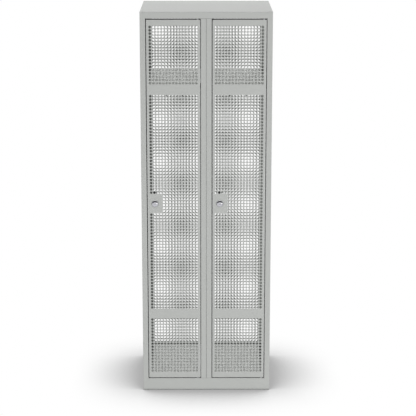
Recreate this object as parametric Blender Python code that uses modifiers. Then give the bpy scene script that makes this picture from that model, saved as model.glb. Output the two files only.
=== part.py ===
"""Perforated steel locker with two full-height compartments.

Units are metres and +Z is up. The origin is at the bottom centre of the whole locker, the doors face -Y,
and "left" and "right" are seen from the front. Every sheet panel is folded from one thickness of steel.
"""

import math
from collections import namedtuple

import bmesh
import bpy
from mathutils import Matrix, Vector

# Overall sizes
WIDTH = 0.600
HEIGHT = 1.800
CASE_DEPTH = 0.500

# Sheet steel and the gaps between pieces
SHEET = 0.0010
BEND_RADIUS = 0.0018
BEND_SEGMENTS = 2
SEAT_GAP = 0.0003
CUT_OVERRUN = 0.002
MERGE_DISTANCE = 0.00005
FLAT_ANGLE = math.radians(1)

# Front frame
POST_WIDTH = 0.025
MULLION_WIDTH = 0.050
MULLION_SEAM = 0.0005
HEADER_HEIGHT = 0.030
PLINTH_HEIGHT = 0.060
STOP_LIP = 0.010
HEADER_LIP = 0.024
PLINTH_LIP = 0.015
REAR_RETURN = 0.015

# Doors
DOOR_GAP = 0.0025
DOOR_DEPTH = 0.018
DOOR_LIP = 0.012
PIVOT_EDGE_OFFSET = 0.012
PIVOT_PIN_RADIUS = 0.003
PIVOT_HEAD_RADIUS = 0.0047
PIVOT_HEAD_HEIGHT = 0.0042
PIVOT_REACH = 0.007
WASHER_RADIUS = 0.007

# Perforation: round holes on a square pitch. Each upright run of about this many holes is cut here as one slot,
# which keeps the column pitch and the open area of the holes that it stands for.
HOLE_PITCH = 0.015
HOLE_DIAMETER = 0.012
HOLES_PER_SLOT = 16
DOOR_SIDE_MARGIN = 0.010
DOOR_END_MARGIN = 0.0275
END_ZONE_HEIGHT = 0.270
PLAIN_BAND_HEIGHT = 0.045
LOCK_PATCH_WIDTH = 0.060
LOCK_PATCH_HEIGHT = 0.090
BACK_SIDE_MARGIN = 0.0375
BACK_TOP_MARGIN = 0.045
BACK_BOTTOM_MARGIN = 0.015
BACK_MIDDLE_STRIP = 0.075

# Hat shelves, coat rails and hooks
SHELF_DROP = 0.297
SHELF_SWING_CLEARANCE = 0.002
SHELF_FOLD = 0.025
SOCKET_CLEARANCE = 0.003
RAIL_SETBACK = 0.250
RAIL_RADIUS = 0.011
RAIL_WALL = 0.0012
SOCKET_PLATE_RADIUS = 0.020
SOCKET_PLATE = 0.002
SOCKET_WALL = 0.002
SOCKET_DEPTH = 0.014
HOOK_WIRE_RADIUS = 0.0022
HOOK_DROP = 0.036
HOOK_THROAT_RADIUS = 0.009
HOOK_TIP_RISE = 0.008
HOOK_STEM_GAP = 0.0085
HOOK_BEND_SHARE = 0.55
HOOK_SPREAD = 0.038

# Cam lock, measured from its axis; heights are from the door face, positive towards the front
LOCK_EDGE_OFFSET = 0.035
LOCK_FLANGE_RADIUS = 0.014
LOCK_FLANGE_HEIGHT = 0.003
LOCK_FLANGE_CHAMFER = 0.001
LOCK_CREST_RADIUS = 0.012
LOCK_BARREL_RADIUS = 0.0095
PLUG_RADIUS = 0.008
PLUG_FACE_HEIGHT = 0.0008
PLUG_FACE_CHAMFER = 0.0007
PLUG_TAIL = 0.0027
PLUG_BORE_DEPTH = 0.009
KEY_SLOT_WIDTH = 0.0018
KEY_SLOT_LENGTH = 0.009
KEY_SLOT_DEPTH = 0.006
NUT_CORNER_RADIUS = 0.0139
NUT_THICKNESS = 0.004
CAM_CLEARANCE = 0.001
CAM_WIDTH = 0.020
CAM_REACH = 0.056
CAM_THICKNESS = 0.002
CAM_CORNER = 0.004
CAM_SCREW_RADIUS = 0.0025
CAM_SCREW_HEAD_RADIUS = 0.005
CAM_SCREW_HEAD_HEIGHT = 0.003
CAM_SCREW_CHAMFER = 0.0008

# Door buffers on the stop lip
BUFFER_RADIUS = 0.004
BUFFER_THICKNESS = 0.0014
BUFFER_END_INSET = 0.150

# Facets round a full turn
SEGMENTS_LARGE = 20
SEGMENTS_SMALL = 16

# Places worked out from the sizes above
LOCK_PROUD = SEAT_GAP + LOCK_FLANGE_HEIGHT
FRONT_Y = LOCK_PROUD - (CASE_DEPTH + LOCK_PROUD) / 2
BACK_Y = FRONT_Y + CASE_DEPTH
OUTER_X = WIDTH / 2
INNER_X = OUTER_X - SHEET
OPENING_BOTTOM = PLINTH_HEIGHT
OPENING_TOP = HEIGHT - HEADER_HEIGHT
JAMB_DEPTH = DOOR_DEPTH + BUFFER_THICKNESS + 2 * SEAT_GAP
OPENING_WIDTH = (WIDTH - 2 * POST_WIDTH - MULLION_WIDTH) / 2
DOOR_WIDTH = OPENING_WIDTH - 2 * DOOR_GAP
DOOR_BOTTOM = OPENING_BOTTOM + DOOR_GAP
DOOR_TOP = OPENING_TOP - DOOR_GAP
DOOR_HEIGHT = DOOR_TOP - DOOR_BOTTOM
DOOR_MIDDLE = (DOOR_BOTTOM + DOOR_TOP) / 2
PARTITION_FACE_X = MULLION_SEAM / 2
CASE_TOP = HEIGHT - SHEET - SEAT_GAP
FLOOR_SEAT = PLINTH_HEIGHT + SEAT_GAP
OPENING_SEAT = OPENING_TOP - SEAT_GAP
BACK_PANEL_REAR = CASE_DEPTH - SHEET - SEAT_GAP
BACK_PANEL_FRONT = BACK_PANEL_REAR - SHEET
INNER_DEPTH = BACK_PANEL_FRONT - SEAT_GAP
PIN_HOLE_RADIUS = PIVOT_PIN_RADIUS + SEAT_GAP
PIVOT_SETBACK = SHEET + SEAT_GAP + PIVOT_HEAD_RADIUS
DOOR_SWING_DEPTH = PIVOT_SETBACK + math.hypot(PIVOT_EDGE_OFFSET, DOOR_DEPTH - PIVOT_SETBACK)
SHELF_FRONT_SETBACK = DOOR_SWING_DEPTH + SHELF_SWING_CLEARANCE
SHELF_TOP = OPENING_TOP - SHELF_DROP
RAIL_HEIGHT = SHELF_TOP - SHELF_FOLD - SOCKET_CLEARANCE - SOCKET_PLATE_RADIUS
LOCK_HOLE_RADIUS = LOCK_BARREL_RADIUS + SEAT_GAP
CAM_FRONT = JAMB_DEPTH + SHEET + CAM_CLEARANCE
PLUG_LENGTH = CAM_FRONT - SEAT_GAP
LOCK_BARREL_LENGTH = PLUG_LENGTH - PLUG_TAIL
CAM_REAR = CAM_FRONT + CAM_THICKNESS
CAM_HOLE_RADIUS = CAM_SCREW_RADIUS + SEAT_GAP

Bay = namedtuple("Bay", "name left_x right_x door_left")


def depth(distance):
    """World Y of a plane that lies this distance behind the front face."""
    return FRONT_Y + distance


def make_bays():
    """The two compartments: the faces of the walls on their left and right, and the left edge of the door."""
    left_door = -OUTER_X + POST_WIDTH + DOOR_GAP
    right_door = MULLION_WIDTH / 2 + DOOR_GAP
    partition = PARTITION_FACE_X + SHEET
    return (
        Bay("left", -INNER_X, -partition, left_door),
        Bay("right", partition, INNER_X, right_door),
    )


def clear_scene():
    for item in list(bpy.data.objects):
        bpy.data.objects.remove(item, do_unlink=True)


def make_collection(name):
    group = bpy.data.collections.new(name)
    bpy.context.scene.collection.children.link(group)
    return group


def make_material(name, colour, roughness, metallic):
    finish = bpy.data.materials.new(name)
    finish.use_nodes = True
    shader = finish.node_tree.nodes["Principled BSDF"]
    shader.inputs["Base Color"].default_value = (*colour, 1.0)
    shader.inputs["Roughness"].default_value = roughness
    shader.inputs["Metallic"].default_value = metallic
    return finish


clear_scene()
PARTS = make_collection("perforated_steel_locker")
CUTTERS = make_collection("cutters")

PAINT_COLOUR = (0.462, 0.474, 0.456)
ZINC_COLOUR = (0.60, 0.61, 0.62)
CHROME_COLOUR = (0.72, 0.72, 0.76)
RUBBER_COLOUR = (0.03, 0.03, 0.03)


def finish_for(name, kind):
    """Each sub-part has its own material, made from one of four finishes."""
    if kind == "paint":
        return make_material(name + "_paint", PAINT_COLOUR, 0.45, 0.0)
    if kind == "zinc":
        return make_material(name + "_zinc", ZINC_COLOUR, 0.40, 1.0)
    if kind == "chrome":
        return make_material(name + "_chrome", CHROME_COLOUR, 0.18, 1.0)
    return make_material(name + "_rubber", RUBBER_COLOUR, 0.80, 0.0)


def add_part(name, mesh, kind, at=(0, 0, 0), rotation=(0, 0, 0), parent=None):
    """Put a mesh in the locker's collection, at a world place, under an unturned parent if one is given."""
    part = bpy.data.objects.new(name, mesh)
    PARTS.objects.link(part)
    place = Vector(at)
    if parent is not None:
        part.parent = parent
        place = place - parent_place(parent)
    part.location = place
    part.rotation_euler = rotation
    mesh.materials.append(finish_for(name, kind))
    return part


def parent_place(parent):
    """World place of an empty whose own parents are empties that aren't turned."""
    place = Vector(parent.location)
    while parent.parent is not None:
        parent = parent.parent
        place = place + Vector(parent.location)
    return place


def add_axis(name, at, parent=None):
    """Empty on a joint's axis."""
    axis = bpy.data.objects.new(name, None)
    axis.empty_display_size = POST_WIDTH
    PARTS.objects.link(axis)
    place = Vector(at)
    if parent is not None:
        axis.parent = parent
        place = place - parent_place(parent)
    axis.location = place
    return axis


def mesh_from(name, shape):
    mesh = bpy.data.meshes.new(name)
    shape.to_mesh(mesh)
    shape.free()
    return mesh


def box_shape(low, high):
    shape = bmesh.new()
    bmesh.ops.create_cube(shape, size=1)
    low, high = Vector(low), Vector(high)
    stretch = Matrix.Diagonal((*(high - low), 1))
    bmesh.ops.transform(shape, matrix=Matrix.Translation((low + high) / 2) @ stretch, verts=shape.verts)
    return shape


def add_cutter(name, mesh, at, rotation=(0, 0, 0)):
    cutter = bpy.data.objects.new(name, mesh)
    CUTTERS.objects.link(cutter)
    cutter.location = at
    cutter.rotation_euler = rotation
    cutter.hide_render = True
    cutter.display_type = "WIRE"
    return cutter


def box_cutter(name, low, high):
    return add_cutter(name, mesh_from(name, box_shape(low, high)), (0, 0, 0))


def drill(name, centre, radius, length, rotation=(0, 0, 0)):
    """Round cutter centred on a point, along Z before it is turned."""
    shape = bmesh.new()
    bmesh.ops.create_cone(
        shape, cap_ends=True, segments=SEGMENTS_SMALL, radius1=radius, radius2=radius, depth=length
    )
    return add_cutter(name, mesh_from(name, shape), centre, rotation)


def cut(part, *cutters):
    for cutter in cutters:
        step = part.modifiers.new("cut_" + cutter.name, "BOOLEAN")
        step.operation = "DIFFERENCE"
        step.solver = "EXACT"
        step.object = cutter


def thicken(part, side):
    """Give an open surface its sheet thickness, on the side of its normals (+1) or behind them (-1)."""
    wall = part.modifiers.new("sheet_thickness", "SOLIDIFY")
    wall.thickness = SHEET
    wall.offset = side
    wall.use_even_offset = True


def round_folds(part):
    bend = part.modifiers.new("bend_radius", "BEVEL")
    bend.width = BEND_RADIUS
    bend.segments = BEND_SEGMENTS
    bend.limit_method = "ANGLE"


def folded_sheet(name, outline, along, start, end, side):
    """Sheet folded along an outline and running straight from start to end.

    With along "Z" the outline's pairs are world X and Y; with along "X" they are world Y and Z.
    """
    shape = bmesh.new()
    if along == "Z":
        corners = [shape.verts.new((a, b, start)) for a, b in outline]
        run = Vector((0, 0, end - start))
    else:
        corners = [shape.verts.new((start, a, b)) for a, b in outline]
        run = Vector((end - start, 0, 0))
    folds = [shape.edges.new(pair) for pair in zip(corners, corners[1:])]
    swept = bmesh.ops.extrude_edge_only(shape, edges=folds)["geom"]
    moved = [item for item in swept if isinstance(item, bmesh.types.BMVert)]
    bmesh.ops.translate(shape, verts=moved, vec=run)
    part = add_part(name, mesh_from(name, shape), "paint")
    round_folds(part)
    thicken(part, side)
    return part


def turned(name, profile, kind, at, rotation=(0, 0, 0), parent=None, ring=False, segments=SEGMENTS_LARGE):
    """Shape turned round its own Z from (radius, height) points that run down the outer side."""
    mesh = bpy.data.meshes.new(name)
    count = len(profile)
    edges = [(index, index + 1) for index in range(count - 1)]
    if ring:
        edges.append((count - 1, 0))
    mesh.from_pydata([(radius, 0, height) for radius, height in profile], edges, [])
    part = add_part(name, mesh, kind, at, rotation, parent)
    spin = part.modifiers.new("turn", "SCREW")
    spin.axis = "Z"
    spin.steps = segments
    spin.render_steps = segments
    spin.use_merge_vertices = True
    spin.merge_threshold = MERGE_DISTANCE
    spin.use_smooth_shade = True
    return part


def curve_to_mesh(name, curve):
    """Mesh of a curve, with its caps welded."""
    guide = bpy.data.objects.new(name + "_guide", curve)
    PARTS.objects.link(guide)
    bpy.context.view_layer.update()
    graph = bpy.context.evaluated_depsgraph_get()
    mesh = bpy.data.meshes.new_from_object(guide.evaluated_get(graph))
    bpy.data.objects.remove(guide, do_unlink=True)
    shape = bmesh.new()
    shape.from_mesh(mesh)
    bmesh.ops.remove_doubles(shape, verts=shape.verts, dist=MERGE_DISTANCE)
    shape.to_mesh(mesh)
    shape.free()
    mesh.name = name
    return mesh


def arc(centre, radius, start, end, count):
    """Points of an arc in degrees, both ends included."""
    turns = [math.radians(start + (end - start) * step / (count - 1)) for step in range(count)]
    return [(centre[0] + radius * math.cos(turn), centre[1] + radius * math.sin(turn)) for turn in turns]


def add_spline(curve, points, closed):
    spline = curve.splines.new("POLY")
    spline.points.add(len(points) - 1)
    for target, point in zip(spline.points, points):
        target.co = (*point, 1)
    spline.use_cyclic_u = closed


def flat_plate_mesh(name, outlines, thickness):
    """Plate in its own XY plane, centred on it, from one outer outline and any holes."""
    curve = bpy.data.curves.new(name, "CURVE")
    curve.dimensions = "2D"
    curve.fill_mode = "BOTH"
    curve.extrude = thickness / 2
    for outline in outlines:
        add_spline(curve, [(x, y, 0) for x, y in outline], True)
    return curve_to_mesh(name, curve)


def opening_lines(start, zones, holes_per_cell, web):
    """Grid lines of a run of zones, and the line numbers after which an opening starts.

    A zone is (length, open). An open zone is shared out into equal cells of about holes_per_cell holes,
    and a web of this width stays between the openings of two cells.
    """
    lines, openings, place = [start], [], start
    for length, is_open in zones:
        if is_open:
            cells = max(1, round(length / (holes_per_cell * HOLE_PITCH)))
            cell = length / cells
            for number in range(cells):
                openings.append(len(lines))
                lines.append(place + number * cell + web / 2)
                lines.append(place + (number + 1) * cell - web / 2)
        place += length
    lines.append(place)
    return lines, openings


def perforated_sheet(name, x_zones, z_zones, low, kind, keep_solid, at, parent=None):
    """Flat sheet with columns of slots, standing in its own XZ plane with its front face at Y zero.

    keep_solid says, for the centre of a slot, whether its place stays plain.
    """
    end_web = HOLE_PITCH - HOLE_DIAMETER
    holes_area = HOLES_PER_SLOT * math.pi * (HOLE_DIAMETER / 2) ** 2
    slot_width = holes_area / (HOLES_PER_SLOT * HOLE_PITCH - end_web)
    x_lines, x_open = opening_lines(low[0], x_zones, 1, HOLE_PITCH - slot_width)
    z_lines, z_open = opening_lines(low[1], z_zones, HOLES_PER_SLOT, end_web)
    shape = bmesh.new()
    bmesh.ops.create_grid(
        shape, x_segments=len(x_lines) - 1, y_segments=len(z_lines) - 1, size=1,
        matrix=Matrix.Rotation(math.pi / 2, 4, "X"),
    )
    columns, rows = len(x_lines) - 1, len(z_lines) - 1
    for corner in shape.verts:
        column = round((corner.co.x + 1) / 2 * columns)
        row = round((corner.co.z + 1) / 2 * rows)
        corner.co = (x_lines[column], 0, z_lines[row])
    x_gaps = {(x_lines[line] + x_lines[line + 1]) / 2 for line in x_open}
    z_gaps = {(z_lines[line] + z_lines[line + 1]) / 2 for line in z_open}
    gone = []
    for face in shape.faces:
        centre = face.calc_center_median()
        in_x = min(abs(centre.x - middle) for middle in x_gaps) < MERGE_DISTANCE
        in_z = min(abs(centre.z - middle) for middle in z_gaps) < MERGE_DISTANCE
        if in_x and in_z and not keep_solid(centre.x, centre.z):
            gone.append(face)
    bmesh.ops.delete(shape, geom=gone, context="FACES")
    bmesh.ops.dissolve_limit(shape, angle_limit=FLAT_ANGLE, verts=shape.verts, edges=shape.edges)
    part = add_part(name, mesh_from(name, shape), kind, at, parent=parent)
    thicken(part, -1)
    return part


def make_roof():
    """Top sheet with the folded header in front, its lip that holds the upper pivots, and a rear fold."""
    outline = (
        (depth(HEADER_LIP), OPENING_TOP), (FRONT_Y, OPENING_TOP), (FRONT_Y, HEIGHT),
        (BACK_Y, HEIGHT), (BACK_Y, OPENING_TOP),
    )
    roof = folded_sheet("roof_panel", outline, "X", -OUTER_X, OUTER_X, -1)
    for name, sign in (("left", -1), ("right", 1)):
        post_edge = sign * (OUTER_X - POST_WIDTH - SEAT_GAP)
        rear_edge = sign * (OUTER_X - REAR_RETURN - SEAT_GAP)
        beyond = sign * (OUTER_X + CUT_OVERRUN)
        front = box_cutter(
            "roof_front_notch_" + name,
            (min(post_edge, beyond), FRONT_Y - CUT_OVERRUN, OPENING_TOP - CUT_OVERRUN),
            (max(post_edge, beyond), depth(HEADER_LIP) + CUT_OVERRUN, CASE_TOP),
        )
        rear = box_cutter(
            "roof_rear_notch_" + name,
            (min(rear_edge, beyond), depth(BACK_PANEL_FRONT), OPENING_TOP - CUT_OVERRUN),
            (max(rear_edge, beyond), BACK_Y + CUT_OVERRUN, CASE_TOP),
        )
        cut(roof, front, rear)
    return roof


def make_base():
    """Floor of both compartments with the plinth folded down in front and a matching fold behind."""
    outline = (
        (depth(PLINTH_LIP), 0), (FRONT_Y, 0), (FRONT_Y, PLINTH_HEIGHT),
        (BACK_Y, PLINTH_HEIGHT), (BACK_Y, 0), (BACK_Y - PLINTH_LIP, 0),
    )
    reach = INNER_X - SEAT_GAP
    base = folded_sheet("base_tray", outline, "X", -reach, reach, -1)
    for name, sign in (("left", -1), ("right", 1)):
        post_edge = sign * (OUTER_X - POST_WIDTH - SEAT_GAP)
        rear_edge = sign * (OUTER_X - REAR_RETURN - SEAT_GAP)
        beyond = sign * (OUTER_X + CUT_OVERRUN)
        front = box_cutter(
            "base_front_notch_" + name,
            (min(post_edge, beyond), FRONT_Y - CUT_OVERRUN, -CUT_OVERRUN),
            (max(post_edge, beyond), depth(JAMB_DEPTH + SHEET + SEAT_GAP), PLINTH_HEIGHT + CUT_OVERRUN),
        )
        rear = box_cutter(
            "base_rear_notch_" + name,
            (min(rear_edge, beyond), depth(BACK_PANEL_REAR), -CUT_OVERRUN),
            (max(rear_edge, beyond), BACK_Y + CUT_OVERRUN, PLINTH_HEIGHT + CUT_OVERRUN),
        )
        cut(base, front, rear)
    return base


def make_side_panel(name, sign, has_stop):
    """Outer wall, folded in front into the post and its jamb, and behind into the return for the back."""
    outer = sign * OUTER_X
    jamb = sign * (OUTER_X - POST_WIDTH)
    outline = [(jamb, depth(JAMB_DEPTH)), (jamb, FRONT_Y), (outer, FRONT_Y), (outer, BACK_Y)]
    outline.append((sign * (OUTER_X - REAR_RETURN), BACK_Y))
    if has_stop:
        outline.insert(0, (jamb - sign * STOP_LIP, depth(JAMB_DEPTH)))
    panel = folded_sheet(name, outline, "Z", 0, CASE_TOP, sign)
    if has_stop:
        inner = jamb - sign * (STOP_LIP + CUT_OVERRUN)
        edge = jamb - sign * SEAT_GAP
        for place, bottom, top in (
            ("top", OPENING_SEAT, HEIGHT), ("bottom", -CUT_OVERRUN, FLOOR_SEAT),
        ):
            cutter = box_cutter(
                "stop_lip_notch_" + place,
                (min(inner, edge), depth(JAMB_DEPTH - BEND_RADIUS - SHEET - CUT_OVERRUN), bottom),
                (max(inner, edge), depth(JAMB_DEPTH + SHEET + CUT_OVERRUN), top),
            )
            cut(panel, cutter)
    return panel


def make_partition(name, sign, has_stop):
    """Wall beside the middle, folded in front into its half of the middle post."""
    face = sign * PARTITION_FACE_X
    jamb = sign * MULLION_WIDTH / 2
    outline = [(jamb, depth(JAMB_DEPTH)), (jamb, FRONT_Y), (face, FRONT_Y), (face, depth(INNER_DEPTH))]
    if has_stop:
        outline.insert(0, (jamb + sign * STOP_LIP, depth(JAMB_DEPTH)))
    wall = folded_sheet(name, outline, "Z", FLOOR_SEAT, CASE_TOP, -sign)
    reach = max(abs(face), abs(jamb)) + STOP_LIP + CUT_OVERRUN
    notch = box_cutter(
        name + "_header_notch",
        (-reach, FRONT_Y - CUT_OVERRUN, OPENING_SEAT),
        (reach, depth(HEADER_LIP + SEAT_GAP), HEIGHT),
    )
    cut(wall, notch)
    return wall


def make_back_panel():
    """One perforated sheet behind both compartments, held inside the rear returns."""
    reach = INNER_X - SEAT_GAP
    field = OUTER_X - BACK_SIDE_MARGIN - BACK_MIDDLE_STRIP / 2
    side = reach - OUTER_X + BACK_SIDE_MARGIN
    x_zones = ((side, False), (field, True), (BACK_MIDDLE_STRIP, False), (field, True), (side, False))
    z_zones = (
        (PLINTH_HEIGHT + BACK_BOTTOM_MARGIN - FLOOR_SEAT, False),
        (HEIGHT - PLINTH_HEIGHT - BACK_BOTTOM_MARGIN - BACK_TOP_MARGIN, True),
        (CASE_TOP - HEIGHT + BACK_TOP_MARGIN, False),
    )
    return perforated_sheet(
        "back_panel", x_zones, z_zones, (-reach, FLOOR_SEAT), "paint", lambda x, z: False,
        (0, depth(BACK_PANEL_FRONT), 0),
    )


def make_shelf(bay):
    """Hat shelf folded down on all four sides."""
    low = (bay.left_x + SEAT_GAP, depth(SHELF_FRONT_SETBACK), SHELF_TOP - SHELF_FOLD)
    high = (bay.right_x - SEAT_GAP, depth(INNER_DEPTH), SHELF_TOP)
    shape = box_shape(low, high)
    under = [face for face in shape.faces if face.normal.z < -0.5]
    bmesh.ops.delete(shape, geom=under, context="FACES")
    name = "hat_shelf_" + bay.name
    shelf = add_part(name, mesh_from(name, shape), "paint")
    round_folds(shelf)
    thicken(shelf, -1)
    return shelf


def make_rail(bay):
    """Coat rail between two sockets on the walls of a compartment."""
    facing_right = (0, math.pi / 2, 0)
    facing_left = (0, -math.pi / 2, 0)
    axis_y = depth(RAIL_SETBACK)
    bore = RAIL_RADIUS + SEAT_GAP
    socket = (
        (0, SOCKET_PLATE), (bore, SOCKET_PLATE), (bore, SOCKET_DEPTH), (bore + SOCKET_WALL, SOCKET_DEPTH),
        (bore + SOCKET_WALL, SOCKET_PLATE), (SOCKET_PLATE_RADIUS, SOCKET_PLATE), (SOCKET_PLATE_RADIUS, 0),
        (0, 0),
    )
    left_x = bay.left_x + SEAT_GAP
    right_x = bay.right_x - SEAT_GAP
    for end, x, turn in (("a", left_x, facing_right), ("b", right_x, facing_left)):
        name = "rail_socket_" + bay.name + "_" + end
        turned(name, socket, "zinc", (x, axis_y, RAIL_HEIGHT), turn, segments=SEGMENTS_SMALL)
    inset = SOCKET_PLATE + SEAT_GAP
    length = right_x - left_x - 2 * inset
    tube = (
        (RAIL_RADIUS, length), (RAIL_RADIUS, 0), (RAIL_RADIUS - RAIL_WALL, 0),
        (RAIL_RADIUS - RAIL_WALL, length),
    )
    place = (left_x + inset, axis_y, RAIL_HEIGHT)
    turned("coat_rail_" + bay.name, tube, "zinc", place, facing_right, ring=True)


def bezier(start, start_handle, end_handle, end, count):
    """Points strictly between the ends of a cubic curve."""
    points = []
    for step in range(1, count + 1):
        t = step / (count + 1)
        u = 1 - t
        weights = (u * u * u, 3 * u * u * t, 3 * u * t * t, t * t * t)
        corners = (start, start_handle, end_handle, end)
        points.append(tuple(sum(w * c[axis] for w, c in zip(weights, corners)) for axis in (0, 1)))
    return points


def hook_route():
    """Centre line of a hook, as (Y, Z) from the rail's axis: over the rail, down, and round forwards."""
    start, end, count = -50, 200, 11
    half_step = math.radians((end - start) / (count - 1) / 2)
    ring = (RAIL_RADIUS + SEAT_GAP + HOOK_WIRE_RADIUS) / math.cos(half_step)
    over = arc((0, 0), ring, start, end, count)
    last = Vector(over[-1])
    heading = Vector((-last.y, last.x)).normalized()
    stem_top = Vector((0, -ring - HOOK_STEM_GAP))
    handle = (stem_top - last).length * HOOK_BEND_SHARE
    bend = bezier(last, last + heading * handle, stem_top + Vector((0, handle)), stem_top, 3)
    low = HOOK_THROAT_RADIUS + HOOK_WIRE_RADIUS - RAIL_RADIUS - HOOK_DROP
    throat = arc((-HOOK_THROAT_RADIUS, low), HOOK_THROAT_RADIUS, 0, -180, 7)
    tip = (-2 * HOOK_THROAT_RADIUS, low + HOOK_TIP_RISE)
    return over + bend + [tuple(stem_top)] + throat + [tip]


def make_hooks(bay):
    """Two wire hooks that slide along the rail, each with its origin on the rail's axis."""
    middle = (bay.left_x + bay.right_x) / 2
    for letter, sign in (("a", -1), ("b", 1)):
        name = "coat_hook_" + bay.name + "_" + letter
        curve = bpy.data.curves.new(name, "CURVE")
        curve.dimensions = "3D"
        curve.bevel_depth = HOOK_WIRE_RADIUS
        curve.bevel_resolution = 2
        curve.use_fill_caps = True
        add_spline(curve, [(0, y, z) for y, z in hook_route()], False)
        at = (middle + sign * HOOK_SPREAD, depth(RAIL_SETBACK), RAIL_HEIGHT)
        hook = add_part(name, curve_to_mesh(name, curve), "zinc", at)
        hook.data.shade_smooth()


def make_door(bay):
    """Door of a compartment: lock at its left edge, hidden pivots at its right edge."""
    hinge_x = bay.door_left + DOOR_WIDTH - PIVOT_EDGE_OFFSET
    axis = add_axis("door_axis_" + bay.name, (hinge_x, depth(PIVOT_SETBACK), DOOR_MIDDLE))
    lock_x = bay.door_left + LOCK_EDGE_OFFSET
    lock_at = (lock_x, FRONT_Y, DOOR_MIDDLE)

    field = DOOR_WIDTH - 2 * DOOR_SIDE_MARGIN
    x_zones = ((DOOR_SIDE_MARGIN, False), (field, True), (DOOR_SIDE_MARGIN, False))
    tall = DOOR_HEIGHT - 2 * (DOOR_END_MARGIN + END_ZONE_HEIGHT + PLAIN_BAND_HEIGHT)
    beside = (tall - LOCK_PATCH_HEIGHT) / 2
    z_zones = (
        (DOOR_END_MARGIN, False), (END_ZONE_HEIGHT, True), (PLAIN_BAND_HEIGHT, False),
        (beside, True), (LOCK_PATCH_HEIGHT, True), (beside, True),
        (PLAIN_BAND_HEIGHT, False), (END_ZONE_HEIGHT, True), (DOOR_END_MARGIN, False),
    )

    def in_lock_patch(x, z):
        return x < DOOR_SIDE_MARGIN + LOCK_PATCH_WIDTH and abs(z) < LOCK_PATCH_HEIGHT / 2

    skin = perforated_sheet(
        "door_skin_" + bay.name, x_zones, z_zones, (0, -DOOR_HEIGHT / 2), "paint", in_lock_patch,
        (bay.door_left, FRONT_Y, DOOR_MIDDLE), axis,
    )
    facing_front = (math.pi / 2, 0, 0)
    through = 2 * (SHEET + CUT_OVERRUN)
    cut(skin, drill("lock_hole_" + bay.name, lock_at, LOCK_HOLE_RADIUS, through, facing_front))

    make_door_frame(bay, axis, hinge_x)
    make_pivots(bay, axis, hinge_x)
    make_lock(bay, axis, lock_at)
    return hinge_x


def make_door_frame(bay, axis, hinge_x):
    """Edge frame behind the door face, folded inwards at the back."""
    low = (bay.door_left, depth(SHEET + SEAT_GAP), DOOR_BOTTOM)
    high = (bay.door_left + DOOR_WIDTH, depth(DOOR_DEPTH), DOOR_TOP)
    shape = box_shape(low, high)
    shape.faces.ensure_lookup_table()
    front = [face for face in shape.faces if face.normal.y < -0.5]
    bmesh.ops.delete(shape, geom=front, context="FACES")
    rear = [face for face in shape.faces if face.normal.y > 0.5]
    bmesh.ops.inset_region(shape, faces=rear, thickness=DOOR_LIP, use_even_offset=True)
    middle = [face for face in shape.faces if face.normal.y > 0.5]
    middle = [max(middle, key=lambda face: face.calc_area())]
    bmesh.ops.delete(shape, geom=middle, context="FACES")
    bmesh.ops.translate(shape, verts=shape.verts, vec=-axis.location)
    name = "door_frame_" + bay.name
    frame = add_part(name, mesh_from(name, shape), "paint", axis.location, parent=axis)
    thicken(frame, -1)
    for end, height in (("top", DOOR_TOP), ("bottom", DOOR_BOTTOM)):
        centre = (hinge_x, depth(PIVOT_SETBACK), height)
        hole = drill("pivot_hole_" + end + "_" + bay.name, centre, PIN_HOLE_RADIUS, 2 * (SHEET + CUT_OVERRUN))
        cut(frame, hole)
    return frame


def make_pivots(bay, axis, hinge_x):
    """Headed pins inside the door's top and bottom edges, and the washer that carries the door."""
    y = depth(PIVOT_SETBACK)
    length = PIVOT_HEAD_HEIGHT + SEAT_GAP + SHEET + DOOR_GAP + PIVOT_REACH
    pin = (
        (0, length), (PIVOT_PIN_RADIUS, length), (PIVOT_PIN_RADIUS, PIVOT_HEAD_HEIGHT),
        (PIVOT_HEAD_RADIUS, PIVOT_HEAD_HEIGHT), (PIVOT_HEAD_RADIUS, 0), (0, 0),
    )
    inside = SHEET + SEAT_GAP + PIVOT_HEAD_HEIGHT
    top = (hinge_x, y, DOOR_TOP - inside)
    bottom = (hinge_x, y, DOOR_BOTTOM + inside)
    turned("pivot_pin_top_" + bay.name, pin, "zinc", top, parent=axis, segments=SEGMENTS_SMALL)
    upside_down = (math.pi, 0, 0)
    turned("pivot_pin_bottom_" + bay.name, pin, "zinc", bottom, upside_down, axis, segments=SEGMENTS_SMALL)
    thickness = DOOR_GAP - 2 * SEAT_GAP
    washer = (
        (WASHER_RADIUS, thickness), (WASHER_RADIUS, 0), (PIN_HOLE_RADIUS, 0), (PIN_HOLE_RADIUS, thickness),
    )
    place = (hinge_x, y, FLOOR_SEAT)
    turned("pivot_washer_" + bay.name, washer, "zinc", place, ring=True, segments=SEGMENTS_SMALL)


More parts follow.
